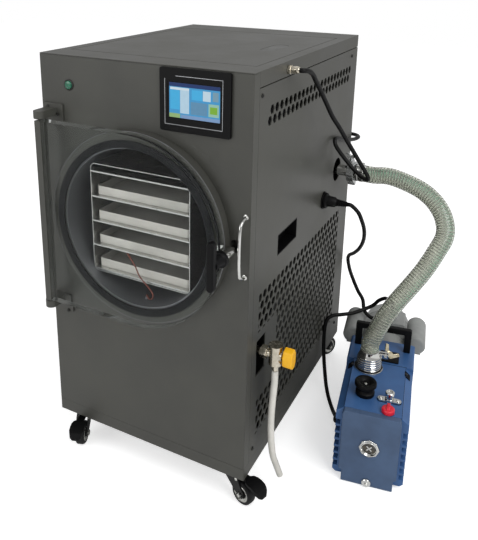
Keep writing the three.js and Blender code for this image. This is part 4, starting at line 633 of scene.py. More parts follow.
def ease(piece, width, segments=2, angle=30):
    """Rounds each edge sharper than the angle by a width in millimetres, and shades it smooth."""
    focus(piece)
    bpy.ops.object.shade_smooth()
    modify(
        piece, "BEVEL", width=width * MM, segments=segments, limit_method="ANGLE",
        angle_limit=math.radians(angle), harden_normals=True,
    )
    modify(piece, "WEIGHTED_NORMAL")  # keeps flat faces flat to the light
    return piece


def copied(node):
    """A copy of a solid, with its loose triangles joined into whole faces."""
    piece = new_piece(node + "_copy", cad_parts[node].data.copy())
    piece.data.materials.clear()
    focus(piece)
    bpy.ops.object.mode_set(mode="EDIT")
    bpy.ops.mesh.select_all(action="SELECT")
    bpy.ops.mesh.remove_doubles(threshold=2e-6)
    bpy.ops.mesh.dissolve_limited(angle_limit=math.radians(0.6))
    bpy.ops.object.mode_set(mode="OBJECT")
    return piece


def dress(node, finish, width=0.4, segments=2, angle=30, body="cabinet"):
    """The solid itself with its edges eased, as the piece that shows."""
    piece = copied(node)
    ease(piece, width, segments, angle)
    return settle(piece, node + "_piece", finish, node, body, home=None)


for node in ("front_panel", "rear_shell", "base_pan"):
    dress(node, powder_coat, 0.9)

# The lid's pressed recess is drawn in to the size of the plug that fills it.
LID_PLUG_X, LID_PLUG_Y = 363, 292
RECESS_REACH = (25, 71)  # from its middle, across and to the back
RECESS_SCALE = 0.7
lid = copied("top_cover")
for vertex in lid.data.vertices:
    x, y, z = cabinet.inverted() @ vertex.co / MM
    dx, dy = x - LID_PLUG_X, y - LID_PLUG_Y
    if abs(dx) < RECESS_REACH[0] and abs(dy) < RECESS_REACH[1]:
        vertex.co = at(LID_PLUG_X + RECESS_SCALE * dx, LID_PLUG_Y + RECESS_SCALE * dy, z)
ease(lid, 0.9)
settle(lid, "top_cover_piece", powder_coat, "top_cover", home=None)

# ---------- Right side panel ----------
# Punched steel sheet: two rows of six-sided vents under the lid, and a staggered field of the
# same holes over the condenser, stepped round the drain valve's opening. Holes on the field's
# edges are punched through only as far as its outline.
HOLE_PITCH = 22.1
HOLE_ROW = 19.05
HOLE_FLAT = 8.2  # centre of a hole to its flats
VENT_ROWS = ((69.4, 706.5), (78.9, 725.5))
VENT_COUNT = 22
FIELD_FRONT, FIELD_TOP = 53, 372
FIELD_COLUMNS, FIELD_ROWS = 24, 9
# Each with its front and back, then its low and high edge.
FIELD_BLOCKS = ((140.5, 534, 72, 380), (48, 140, 300, 380), (50, 140, 72, 150))
DRAIN_OPENING = (42.7, 83.9, 208, 284)
GRIP_OPENING = (130, 233, 424, 468)
ROUND_OPENINGS = ((*PORT_PLACE, 28), (*OUTLET_PLACE, 14.3))  # centre and radius
LID_GAP = 1.4  # reads as a dark line under the lid
side = span("right_side_panel")
punch_start, punch_end = side[0] - 3, side[3] + 3


def block(x0, x1, y0, y1, z0, z1):
    """A box between these places, in millimetres."""
    bpy.ops.object.select_all(action="DESELECT")
    middle = Vector((x0 + x1, y0 + y1, z0 + z1)) / 2 * MM
    bpy.ops.mesh.primitive_cube_add(
        size=1, location=middle, scale=((x1 - x0) * MM, (y1 - y0) * MM, (z1 - z0) * MM),
    )
    piece = bpy.context.object
    fix_place()
    return piece


def joined(*pieces):
    """The pieces as one, which keeps the last one's frame."""
    focus(*pieces)
    bpy.ops.object.join()
    return bpy.context.object


def carve(piece, tool, operation="DIFFERENCE"):
    """Cuts the piece with the tool, or keeps what they share, and removes the tool."""
    modify(piece, "BOOLEAN", operation=operation, solver="EXACT", object=tool)
    bpy.data.objects.remove(tool)
    return piece


def hex_punch(y, z):
    """A punch for one six-sided hole, through the side sheet."""
    bpy.ops.mesh.primitive_cylinder_add(
        vertices=6, radius=HOLE_FLAT / math.cos(math.pi / 6) * MM,
        depth=(punch_end - punch_start) * MM,
        location=Vector(((punch_start + punch_end) / 2, y, z)) * MM, rotation=(0, math.pi / 2, 0),
    )
    fix_place()
    return bpy.context.object


def repeat(piece, count, step):
    """The piece that many times over, each a step in millimetres on from the last."""
    offset = Vector(step) * MM
    return modify(
        piece, "ARRAY", count=count, use_relative_offset=False, use_constant_offset=True,
        constant_offset_displace=offset,
    )


sheet = block(side[0], side[3], side[1], side[4], side[2], side[5] - LID_GAP)
punches = []
for y, z in VENT_ROWS:
    punches.append(repeat(hex_punch(y, z), VENT_COUNT, (0, HOLE_PITCH, 0)))
for y0, y1, z0, z1 in FIELD_BLOCKS:
    rows = []
    for shift, first in ((0, 0), (HOLE_PITCH / 2, 1)):
        punch = hex_punch(FIELD_FRONT + shift - HOLE_PITCH, FIELD_TOP - first * HOLE_ROW)
        repeat(punch, FIELD_COLUMNS, (0, HOLE_PITCH, 0))
        rows.append(repeat(punch, FIELD_ROWS, (0, 0, -2 * HOLE_ROW)))
    outline = block(punch_start - 2, punch_end + 2, y0, y1, z0, z1)
    punches.append(carve(joined(*rows), outline, "INTERSECT"))
carve(sheet, joined(*punches))
openings = [block(punch_start, punch_end, *edges) for edges in (DRAIN_OPENING, GRIP_OPENING)]
carve(sheet, joined(*openings))
bpy.ops.object.select_all(action="DESELECT")
for y, z, radius in ROUND_OPENINGS:
    bpy.ops.mesh.primitive_cylinder_add(
        vertices=48, radius=radius * MM, depth=12 * MM, location=Vector((449, y, z)) * MM,
        rotation=(0, math.pi / 2, 0),
    )
    carve(sheet, bpy.context.object)
smooth(sheet, 30)
settle(sheet, "right_side_sheet", powder_coat, "right_side_panel")


# ---------- Vacuum chamber ----------
# A stainless steel cylinder, rolled and seam welded, with a dished end and a machined flange
# that stands out of the front panel. Its inside is satin, from the mill.
# The mill lines are drawn wider than they are.
satin_steel = new_finish(
    "satin_stainless", "#8b8c8f", 0.55, 1.0, texture=(1.6, 0.006, 0.25, (1, 0.08, 1)),
    spread=(0.52, 0.64),
)
shell = span("vacuum_chamber")
CHAMBER_X = middle(shell, 0)
CHAMBER_Z = middle(shell, 2)
CHAMBER_AXIS = ("y", CHAMBER_X, CHAMBER_Z)
FLANGE_RADIUS = (shell[3] - shell[0]) / 2
CHAMBER_RADIUS = FLANGE_RADIUS - 32  # inside
CHAMBER_OUTSIDE = CHAMBER_RADIUS + 4
RIM_BRIGHT = 0.6  # how deep the bright edge runs into the rim
flange_face, chamber_end = shell[1], shell[4]


def chamber_ring(outline):
    """A bored round piece on the chamber's axis."""
    return turned(*CHAMBER_AXIS, outline, sides=128, bored=True)


chamber = chamber_ring(
    [
        (flange_face, CHAMBER_OUTSIDE), (chamber_end - 14, CHAMBER_OUTSIDE),
        (chamber_end - 4, CHAMBER_RADIUS * 0.7), (chamber_end, 20), (chamber_end - 4, 20),
        (chamber_end - 8, CHAMBER_RADIUS * 0.7), (chamber_end - 18, CHAMBER_RADIUS),
        (flange_face, CHAMBER_RADIUS),
    ]
)
centre_weld = turned(*CHAMBER_AXIS, [(chamber_end - 4.2, 21), (chamber_end, 21)], 48)
feed_through = turned(
    "z", 232, 8, [(CHAMBER_Z - CHAMBER_RADIUS - 2, 3.5), (340.4, 3.5), (341, 2.9)], 24,
)
ease(chamber, 0.6)
chamber = joined(feed_through, centre_weld, chamber)
smooth(chamber, 35)
settle(chamber, "vacuum_chamber_shell", satin_steel, "vacuum_chamber")

# The flange is coated like the cabinet, except its machined rim, left bright.
flange = chamber_ring(
    [
        (flange_face, CHAMBER_OUTSIDE + 0.2), (flange_face, FLANGE_RADIUS - RIM_BRIGHT),
        (-0.3, FLANGE_RADIUS - RIM_BRIGHT), (-0.3, CHAMBER_OUTSIDE + 0.2),
    ]
)
ease(flange, 0.5)
settle(flange, "chamber_flange", powder_coat)
rim = chamber_ring(
    [
        (flange_face, FLANGE_RADIUS - RIM_BRIGHT), (flange_face, FLANGE_RADIUS),
        (flange_face + 1.6, FLANGE_RADIUS), (flange_face + 1.6, FLANGE_RADIUS - RIM_BRIGHT),
    ]
)
ease(rim, 0.15)
settle(rim, "chamber_flange_rim", satin_steel)

# ---------- Shelf rack and trays ----------
# The rack is bent and spot welded from thin stainless sheet, bright on its front edges. The
# trays are drawn from thin aluminium-coated sheet, pale and satin, and lift out.
bright_steel = new_finish(
    "bright_stainless", "#c3c3c1", 0.26, 1.0, texture=(2.4, 0.03, 0.4, (0.1, 1, 1)),
    spread=(0.22, 0.36),
)
dress("shelf_rack", bright_steel, 0.3)

tray_satin = new_finish(
    "satin_tray", "#dedbd2", 0.5, 0.35, patches=("#bebab4", "#cdc9c3", 60), spread=(0.42, 0.58),
)
for i in range(1, 5):
    dress(f"tray_{i}", tray_satin, 0.35)

# ---------- Door ----------
# A cast acrylic plate, its rim polished, round on the latch side and square on the hinge side.
# It closes on a wide black rubber ring. A folded steel strip holds the plate's straight edge.
# The patches are wiping marks, barely seen.
clear_acrylic = new_finish(
    "cast_acrylic", "#f3f6f5", 0.0, IOR=1.16, Transmission_Weight=1.0,
    patches=("#eef2f1", "#f7f9f8", 110),
)
let_lamps_through(clear_acrylic, 0.92)
plate = span("door_plate")
DOOR_RADIUS = (plate[5] - plate[2]) / 2
bpy.ops.object.select_all(action="DESELECT")
bpy.ops.mesh.primitive_circle_add(
    vertices=144, radius=DOOR_RADIUS * MM, fill_type="NGON", enter_editmode=True,
)
bpy.ops.object.mode_set(mode="OBJECT")
disc = bpy.context.object
for v in disc.data.vertices:  # the hinge side is drawn out square to the plate's straight edge
    if v.co.x < -1e-6:
        corner_z = DOOR_RADIUS * MM if v.co.y > 0 else -DOOR_RADIUS * MM
        edge_x = (plate[0] - CHAMBER_X) * MM
        turn = math.atan2(abs(v.co.y), -v.co.x)
        if turn > math.pi / 4:
            share = (math.pi / 2 - turn) / (math.pi / 4)
            v.co.x, v.co.y = edge_x * share, corner_z
        else:
            v.co.x, v.co.y = edge_x, corner_z * turn / (math.pi / 4)


def thicken(piece, run):
    """Draws a flat piece out to a solid, by a run in metres."""
    focus(piece)
    bpy.ops.object.mode_set(mode="EDIT")
    bpy.ops.mesh.select_all(action="SELECT")
    bpy.ops.mesh.extrude_region_move(TRANSFORM_OT_translate={"value": run})
    bpy.ops.mesh.select_all(action="SELECT")
    bpy.ops.mesh.normals_make_consistent(inside=False)
    bpy.ops.object.mode_set(mode="OBJECT")
    return piece


thicken(disc, (0, 0, (plate[4] - plate[1]) * MM))
disc.rotation_euler = (math.pi / 2, 0, 0)
disc.location = Vector((CHAMBER_X, plate[4], CHAMBER_Z)) * MM
fix_place()
ease(disc, 1.0, 2)
settle(disc, "door_plate_clear", clear_acrylic, "door_plate", body="door")

door_rubber = new_finish(
    "door_rubber", "#08090c", 0.55, Specular_IOR_Level=0.16, texture=(3, 0.06, 0.3),
    spread=(0.42, 0.6),
)
ring = span("door_seal")
# Painted shade: the seal is drawn wider so that its black rubber also covers the flange's shaded
# edge beside it. The black ring is partly real seal and partly painted shade.
SEAL_AND_SHADE_SPREAD = 2.5  # drawn that much larger in radius than its solid
seal_radius = (ring[3] - ring[0]) / 2 + SEAL_AND_SHADE_SPREAD
seal = chamber_ring(
    [
        (ring[1], seal_radius - 15), (ring[1], seal_radius), (ring[1] + 1.2, seal_radius),
        (ring[4] - 1, seal_radius - 1.4), (ring[4], seal_radius - 3.5),
        (ring[4] - 1.5, seal_radius - 7), (ring[4], seal_radius - 11),
        (ring[4] - 1, seal_radius - 13.4), (ring[1] + 1.2, seal_radius - 15),
    ]
)
ease(seal, 0.5, 2)
settle(seal, "door_seal_ring", door_rubber, "door_seal", body="door")

dress("door_hinge_strip", powder_coat, 0.5, body="door")
for node in ("hinge_bracket_top", "hinge_bracket_bottom"):
    dress(node, powder_coat, 0.6)

# ---------- Latch ----------
# A chrome-plated lug clamped on the plate's rim carries a captive steel screw. Its steel washer,
# black moulded hub and wide T-bar are turned by hand to draw the door on to its seal.
polished_chrome = new_finish(
    "polished_chrome", "#d2d2cf", 0.1, 1.0, patches=("#c6c6c3", "#dcdcd9", 40),
    spread=(0.06, 0.16),
)
dress("latch_lug", polished_chrome, 1.4, 3, body="door")

handle = span("latch_handle")
LATCH_X, LATCH_Z = middle(handle, 0), middle(handle, 2)
LATCH_AXIS = ("y", LATCH_X, LATCH_Z)
BAR_WIDTH, BAR_DEPTH, HUB_RADIUS = 14, 14, 12
bar_front, bar_back = handle[1], handle[1] + BAR_DEPTH
hub_back = handle[1] + 42
screw = turned(*LATCH_AXIS, [(bar_back - 4, 4.5), (handle[4] - 1, 4.5), (handle[4], 3.5)], 32)
collar_start = span("latch_lug")[4] + 0.3
collar = turned(*LATCH_AXIS, [(collar_start, 7), (collar_start + 1.5, 7)], 32)
settle(joined(collar, screw), "latch_screw", polished_chrome, body="latch")
hub = turned(
    *LATCH_AXIS,
    [
        (bar_back - 3, HUB_RADIUS - 2.5), (bar_back + 6, HUB_RADIUS - 2),
        (bar_back + 14, HUB_RADIUS - 0.6), (hub_back - 9, HUB_RADIUS + 0.4),
        (hub_back - 7, HUB_RADIUS + 2.6), (hub_back + 0.4, HUB_RADIUS + 3),
        (hub_back + 1.6, HUB_RADIUS + 2.2),
    ],
    48,
)
ease(hub, 0.8)
bar = block(
    LATCH_X - BAR_WIDTH / 2, LATCH_X + BAR_WIDTH / 2, bar_front, bar_back, handle[2], handle[5],
)


def round_corners(piece, axis, radius, segments=8):
    """Rounds the block's four edges that run along the axis, in edit mode."""
    focus(piece)
    bpy.ops.object.mode_set(mode="EDIT")
    bpy.ops.mesh.select_mode(type="EDGE")
    bpy.ops.mesh.select_all(action="DESELECT")
    shape = bmesh.from_edit_mesh(piece.data)
    for edge in shape.edges:
        run = (edge.verts[1].co - edge.verts[0].co).normalized()
        edge.select_set(abs(run[axis]) > 0.99)
    bmesh.update_edit_mesh(piece.data)
    bpy.ops.mesh.bevel(offset=radius * MM, segments=segments, affect="EDGES")
    bpy.ops.object.mode_set(mode="OBJECT")
    return piece


round_corners(bar, 1, BAR_WIDTH / 2 - 0.4, 8)
ease(bar, 3, 4)
settle(
    joined(hub, bar), "latch_grip", moulded_black, "latch_handle", body="latch",
)

# ---------- Lid plug ----------
# A flat moulded plug, dark grey, closes the recess pressed in the lid.
plug_grey = new_finish(
    "plug_polypropylene", "#3c3d3a", 0.4, patches=("#373835", "#424340", 20), spread=(0.34, 0.46),
)
LID_PLUG_HALF = (15.6, 47.5)
lid_plug = block(
    LID_PLUG_X - LID_PLUG_HALF[0], LID_PLUG_X + LID_PLUG_HALF[0], LID_PLUG_Y - LID_PLUG_HALF[1],
    LID_PLUG_Y + LID_PLUG_HALF[1], 798.9, 799.7,
)
ease(round_corners(lid_plug, 2, 15, 12), 0.3)
settle(lid_plug, "lid_plug", plug_grey)

# ---------- Pull handle ----------
# A thin steel rod bent into a bow, chrome plated, on two small round feet screwed from inside.
pull = span("pull_handle")
PULL_RADIUS, PULL_FOOT = 2.8, 4.8
PULL_X = middle(pull, 0)
pull_low, pull_high = pull[2] + PULL_FOOT, pull[5] - PULL_FOOT
BOW_END = ((-0.3, 0), (-9, 1), (-18, 5), (-23.5, 11.5))  # out of the panel, then along it
bow = [Vector((PULL_X, y, pull_low + along)) for y, along in BOW_END]
bow += [Vector((PULL_X, y, pull_high - along)) for y, along in reversed(BOW_END)]
rod = meshed(round_line("bow_line", route([p * MM for p in bow]), PULL_RADIUS, 8))
feet = [
    turned("y", PULL_X, z, [(-2.3, 3.8), (-1.8, PULL_FOOT), (-0.3, PULL_FOOT)], 40)
    for z in (pull_low, pull_high)
]
bright_bow = joined(*feet, rod)
smooth(bright_bow, 40)
settle(bright_bow, "pull_handle_bow", polished_chrome, "pull_handle")

# ---------- Operator panel ----------
# A black moulded bezel with a touch glass set back in it and a thin bright line round the glass.
# The lit picture is a plain arrangement of colour fields, as a resting control screen shows.
panel = span("touch_panel")
dress("touch_panel", moulded_black, 1.1, 3)
GLASS_LEFT, GLASS_LOW, GLASS_WIDTH, GLASS_HEIGHT = 289, 709.5, 102.5, 64
glass_front = panel[1] + 0.5
dark_glass = new_finish(
    "touch_glass", "#030304", 0.14, Specular_IOR_Level=0.3, patches=("#020203", "#050506", 25),
    spread=(0.1, 0.18),
)
glass = block(
    GLASS_LEFT + 0.3, GLASS_LEFT + GLASS_WIDTH - 0.3, glass_front, panel[1] + 0.95,
    GLASS_LOW + 0.3, GLASS_LOW + GLASS_HEIGHT - 0.3,
)
ease(glass, 0.2)
settle(glass, "touch_glass_sheet", dark_glass)

silver_line = new_finish("silver_line", "#a7a9ac", 0.35, 0.6, patches=("#9a9c9f", "#b3b5b8", 30))
outline_pieces = []
LINE = (283, 396, 697.5, 784)  # left, right, low and high of the line's rectangle
LINE_WIDTH = 0.9
for x0, x1, z0, z1 in (
    (LINE[0], LINE[1], LINE[2], LINE[2] + LINE_WIDTH),
    (LINE[0] + 22, LINE[1], LINE[3] - LINE_WIDTH, LINE[3]),
    (LINE[0], LINE[0] + LINE_WIDTH, LINE[2] + LINE_WIDTH, LINE[3] - 6),
    (LINE[1] - LINE_WIDTH, LINE[1], LINE[2] + LINE_WIDTH, LINE[3] - LINE_WIDTH),
):
    outline_pieces.append(block(x0, x1, panel[1] - 0.05, panel[1] + 0.3, z0, z1))
settle(joined(*outline_pieces), "bezel_line", silver_line)

# Back-lit colour fields: left, right, low, high as shares of the lit picture, colour, strength.
FIELDS = (
    ("blue_ground", 0.0, 1.0, 0.0, 1.0, "#4aa4dc", 1.0),
    ("navy_bar", 0.0, 1.0, 0.89, 1.0, "#24407c", 0.8),
    ("pale_column", 0.22, 0.4, 0.14, 0.8, "#c3e2f5", 1.0),
    ("white_table", 0.02, 0.4, 0.8, 0.87, "#dff0fa", 1.0),
    ("cyan_block", 0.02, 0.21, 0.24, 0.79, "#4bbcf0", 1.0),
    ("sky_block", 0.45, 0.66, 0.56, 0.84, "#4bbcf2", 1.0),
    ("pale_block", 0.67, 0.82, 0.56, 0.84, "#cfe8f6", 1.0),
    ("slate_block", 0.43, 0.76, 0.14, 0.5, "#6fa6cc", 0.85),
    ("grey_strip", 0.86, 0.97, 0.58, 0.84, "#8bb4c9", 0.85),
    ("mint_block", 0.78, 0.98, 0.14, 0.5, "#a8d8c4", 0.9),
    ("green_key", 0.81, 0.95, 0.22, 0.42, "#8cc63f", 0.9),
    ("lime_bar", 0.0, 0.22, 0.0, 0.12, "#a9cf8a", 0.85),
    ("lilac_bar", 0.24, 1.0, 0.0, 0.1, "#8fb4e3", 0.85),
)
LIT = (292.2, 390.6, 711.0, 772.0)  # left, right, low and high of the lit picture
SCREEN_GLOW = 0.8
for level, (name, left, right, low, high, code, power) in enumerate(FIELDS):
    lit = new_finish("lit_" + name, "#0a0d10", 0.4, Specular_IOR_Level=0.2)
    tree = lit.node_tree
    shader = tree.nodes["Principled BSDF"]
    shader.inputs["Emission Strength"].default_value = SCREEN_GLOW * power
    place = add_node(tree, "ShaderNodeTexCoord")
    speckle = add_node(
        tree, "ShaderNodeTexNoise",
        {"Vector": place.outputs["Object"], "Scale": 160.0, "Detail": 1.0},
    )
    mix = add_node(
        tree, "ShaderNodeMix",
        {0: speckle.outputs["Fac"], 6: [c * 0.9 for c in colour(code)], 7: colour(code)},
        data_type="RGBA",
    )
    tree.links.new(mix.outputs[2], shader.inputs["Emission Color"])
    width, height = LIT[1] - LIT[0], LIT[3] - LIT[2]
    front = glass_front - 0.04 - 0.02 * level
    field = block(
        LIT[0] + left * width, LIT[0] + right * width, front, glass_front - 0.01,
        LIT[2] + low * height, LIT[2] + high * height,
    )
    settle(field, "screen_" + name, lit)

# ---------- Power button ----------
# A push button of translucent green plastic in a turned steel collar, black zinc plated.
green_lens = new_finish(
    "green_lens", "#0f7a56", 0.22, Coat_Weight=0.4, Subsurface_Weight=0.15,
    patches=("#084b35", "#156b4f", 9),
)
knob = span("power_button")
BUTTON_AXIS = ("y", middle(knob, 0), middle(knob, 2))
BUTTON_RADIUS = (knob[3] - knob[0]) / 2
button = turned(
    *BUTTON_AXIS,
    [
        (knob[1], 1.5), (knob[1] + 0.12, BUTTON_RADIUS * 0.4),
        (knob[1] + 0.4, BUTTON_RADIUS * 0.72), (knob[1] + 0.9, BUTTON_RADIUS - 0.3),
        (knob[1] + 1.3, BUTTON_RADIUS), (knob[4], BUTTON_RADIUS),
    ],
    48,
)
smooth(button, 40)
settle(button, "power_button_lens", green_lens, "power_button", body="button")

black_zinc = new_finish("black_zinc", "#232321", 0.42, 0.35, patches=("#1c1c1a", "#2d2d2a", 4))
collar = turned(
    *BUTTON_AXIS,
    [
        (-1.4, BUTTON_RADIUS + 0.5), (-1.9, BUTTON_RADIUS + 1.2), (-1.4, BUTTON_RADIUS + 2.8),
        (0.1, BUTTON_RADIUS + 3.2), (0.1, BUTTON_RADIUS + 0.5),
    ],
    48, bored=True,
)
smooth(collar, 40)
settle(collar, "button_collar", black_zinc)

# ---------- Screws in the sheets ----------
# Cross-recess pan heads, black-zinc steel, that hold the panels to the frame. Each is given by
# its axis, its outward side, and the three coordinates of its seat.
SCREW_PLACES = (
    ("x", 1, 450, 33, 757.5), ("x", 1, 450, 555, 755.7), ("x", 1, 450, 38, 48),
    ("x", 1, 450, 562, 48), ("x", -1, 0, 38, 757.5), ("x", -1, 0, 562, 757.5),
    ("x", -1, 0, 38, 48), ("x", -1, 0, 562, 48), ("y", 1, 40, 600, 755), ("y", 1, 405, 600, 755),
    ("y", 1, 40, 600, 45), ("y", 1, 405, 600, 45), ("y", -1, 17, -4.6, 697),
    ("y", -1, 40, -4.6, 684), ("y", -1, 17, -4.6, 272), ("y", -1, 40, -4.6, 260),
)
AXES = {"x": Vector((1, 0, 0)), "y": Vector((0, 1, 0)), "z": Vector((0, 0, 1))}
head = turned("z", 0, 0, [(0, 3.9), (1.3, 3.9), (2.1, 3.0), (2.5, 1.4)], 24)
for x, y in ((2.2, 0.45), (0.45, 2.2)):
    carve(head, block(-x, x, -y, y, 1.5, 3))


def again(piece):
    """Another copy of a piece, in the same place."""
    other = piece.copy()
    other.data = piece.data.copy()
    bpy.context.scene.collection.objects.link(other)
    return other


for i, (axis, side_of, x, y, z) in enumerate(SCREW_PLACES):
    screw_piece = again(head)
    facing = AXES[axis] * side_of
    turn = facing.to_track_quat("Z", "X").to_matrix().to_4x4()
    screw_piece.matrix_world = Matrix.Translation(Vector((x, y, z)) * MM) @ turn
    smooth(screw_piece, 35)
    settle(screw_piece, f"panel_screw_{i + 1}", black_zinc)
bpy.data.objects.remove(head)

# ---------- Grip pocket and mains outlet ----------
# Black mouldings. The pocket is let into the side as a handhold, and the outlet for the pump's
# plug is a round flush socket.
dress("grip_pocket", moulded_black, 0.5)
dress("power_socket", moulded_black, 0.5)

# ---------- Cable glands ----------
# The sensor's gland is nickel-plated brass: a hexagon against the wall and a domed cap nut with
# its own flats. The one on the back is the same pattern in black nylon.
nickel_brass = new_finish(
    "nickelled_brass", "#c9c2b2", 0.22, 1.0, patches=("#bcb4a2", "#d4cdbe", 12),
    spread=(0.16, 0.28),
)


def gland_piece(wall, mouth, u, v, axis):
    """The hexagon, and the cap nut with its flats and its domed end."""
    base = turned(axis, u, v, [(wall, 9), (wall + 6, 9)], 6)
    ease(base, 0.6)
    nut = turned(axis, u, v, [(wall + 6, 7.4), (wall + 14, 7.4)], 6)
    ease(nut, 0.5)
    dome = turned(
        axis, u, v, [(wall + 5, 6.4), (mouth - 6, 6.8), (mouth - 2, 6.2), (mouth - 0.4, 5)], 40,
    )
    ease(dome, 0.3)
    return joined(base, nut, dome)


settle(
    gland_piece(gland[0], gland[3], middle(gland, 1), middle(gland, 2), "x"), "cable_gland_body",
    nickel_brass, "cable_gland",
)
settle(
    gland_piece(back_gland[1], back_gland[4], middle(back_gland, 0), middle(back_gland, 2), "y"),
    "rear_gland_body", moulded_black, "rear_gland",
)

# ---------- Vacuum port ----------
# A stainless stub with a small vacuum flange, drawn to the hose's steel tail by a hinged
# aluminium clamp with a wing nut. The hose is held on the tail by a worm-drive band.
pipe = span("vacuum_pipe")
PORT_Y, PORT_Z = middle(pipe, 1), middle(pipe, 2)
PORT_AXIS = ("x", PORT_Y, PORT_Z)
stub = turned(
    *PORT_AXIS,
    [
        (pipe[0], 13), (pipe[3] - 3.4, 13), (pipe[3] - 2.6, 20), (pipe[3], 20), (pipe[3], 11.5),
        (pipe[0], 11.5),
    ],
    64, bored=True,
)
ease(stub, 0.3)
settle(stub, "vacuum_stub", polished_chrome, "vacuum_pipe")

cast_aluminium = new_finish(
    "cast_aluminium", "#c6c8c8", 0.26, 1.0, texture=(1.5, 0.05, 0.4), spread=(0.18, 0.32),
)
dress("kf_clamp", cast_aluminium, 0.8, 3)

tail = span("hose_cuff")
outline = [
    (tail[0], 20), (tail[0] + 2.6, 20), (tail[0] + 3.4, 15), (tail[0] + 9, 15),
    (tail[0] + 11.4, 20.4), (tail[0] + 16, 20.4), (tail[0] + 16.6, 19.6), (tail[0] + 19, 19.6),
    (tail[0] + 19.6, 20.5), (tail[0] + 28, 20.5), (tail[0] + 28.6, 19.8), (tail[3], 19.8),
    (tail[3], 11.5), (tail[0], 11.5),
]
sleeve = turned(*PORT_AXIS, outline, 64, bored=True)
ease(sleeve, 0.2)
worm = round_corners(
    block(tail[0] + 20.5, tail[0] + 27, PORT_Y - 9, PORT_Y + 7, PORT_Z + 17, PORT_Z + 24.5), 0,
    1.5, 4,
)
ease(worm, 0.4)
worm_screw = turned("y", tail[0] + 23.8, PORT_Z + 21.5, [(PORT_Y - 14, 2.6), (PORT_Y - 8, 2.6)], 6)
settle(
    joined(worm, worm_screw, sleeve), "hose_tail_and_band", polished_chrome,
    "hose_cuff",
)

# ---------- Drain valve ----------
# A nickel-plated brass ball valve on a pipe from the chamber's floor, with a hexagon at the
# wall, a knurled cap and a barb below. Its lever is steel dipped in thick yellow vinyl.
dress("drain_valve", nickel_brass, 0.7, 3, 35)
dipped_vinyl = new_finish(
    "dipped_vinyl", "#f5b80a", 0.4, Specular_IOR_Level=0.45, patches=("#e3a404", "#efb71c", 22),
)
dress("drain_lever", dipped_vinyl, 2.2, 4, body="valve_lever")

# ---------- Casters ----------
# Twin-leg swivel casters of pressed steel, stoved black. Each has a black polyurethane tyre on a
# core with a bright pressed ring on either side, and a zinc-plated axle bolt. The front pair
# have a wide black brake pedal that hoods the wheel.
black_stove = new_finish(
    "black_stove_enamel", "#0b0b0b", 0.42, Specular_IOR_Level=0.3, texture=(2, 0.05, 0.35),
    spread=(0.36, 0.5),
)
zinc_plate = new_finish(
    "zinc_plate", "#c9c9c4", 0.28, 1.0, patches=("#b9b9b3", "#d6d6d1", 5), spread=(0.22, 0.38),
)
tyre_rubber = new_finish(
    "tyre_polyurethane", "#131314", 0.55, Specular_IOR_Level=0.25, texture=(2, 0.08, 0.4),
    spread=(0.46, 0.64),
)

AXLE = ("y", 33, -47)  # before the caster is turned
WHEEL_RADIUS, WHEEL_HALF = 25, 10
# The place of each swivel, and its turn in degrees.
CORNERS = {
    "front_left": (40, 33, -68), "front_right": (410, 33, -18), "back_left": (40, 567, 110),
    "back_right": (410, 567, 62),
}


def profile(axis, points, low, high):
    """A flat outline drawn through the points and extruded along an axis, from low to high."""
    bpy.ops.object.select_all(action="DESELECT")
    bpy.ops.mesh.primitive_circle_add(vertices=len(points), radius=0.01, fill_type="NGON")
    piece = bpy.context.object
    for vertex, (u, v) in zip(piece.data.vertices, points):
        vertex.co = Vector({"x": (low, u, v), "y": (u, low, v), "z": (u, v, low)}[axis]) * MM
    run = AXES[axis] * (high - low) * MM
    return thicken(piece, run)


tyre = turned(
    *AXLE,
    [
        (-WHEEL_HALF + 1.2, 17.6), (-WHEEL_HALF, 19), (-WHEEL_HALF, 21.5),
        (-WHEEL_HALF + 2.6, 24.4), (-WHEEL_HALF + 5, WHEEL_RADIUS), (WHEEL_HALF - 5, WHEEL_RADIUS),
        (WHEEL_HALF - 2.6, 24.4), (WHEEL_HALF, 21.5), (WHEEL_HALF, 19), (WHEEL_HALF - 1.2, 17.6),
    ],
    64, bored=True,
)
smooth(tyre, 40)
core = turned(
    *AXLE,
    [
        (-10.5, 4.3), (-10.5, 8), (-6.5, 10.5), (-6.5, 17.7), (6.5, 17.7), (6.5, 10.5), (10.5, 8),
        (10.5, 4.3),
    ],
    48, bored=True,
)
ease(core, 0.4)
# The pressed rings: distance from the wheel's middle and radius, in one order for each side.
RING_EDGES = {
    -1: ((10.2, 16.8), (9.6, 17.7), (7.4, 11.2), (6.6, 11.2), (8.8, 17.7)),
    1: ((7.4, 11.2), (9.6, 17.7), (10.2, 16.8), (8.8, 17.7), (6.6, 11.2)),
}
rings = []
for side_of in (-1, 1):
    bright = turned(
        *AXLE, [(side_of * along, radius) for along, radius in RING_EDGES[side_of]], 48,
        bored=True,
    )
    ease(bright, 0.15)
    rings.append(bright)
trim = joined(*rings)

nuts = []
for side_of in (-1, 1):
    start = side_of * 13.6
    nut = turned(*AXLE, [(start, 6.7), (start + side_of * 2.6, 6.7)], 6)
    end = turned(*AXLE, [(start, 4.1), (start + side_of * 3, 4.1)], 24)
    nuts += [nut, end]
bolt = joined(*nuts)
ease(bolt, 0.45)
pedal_bolt = joined(
    *[
        turned("y", 23, -15.5, [(s * 12.4, 3.6), (s * 13.8, 3.6), (s * 14.6, 2.4)], 20)
        for s in (-1, 1)
    ]
)
ease(pedal_bolt, 0.3)

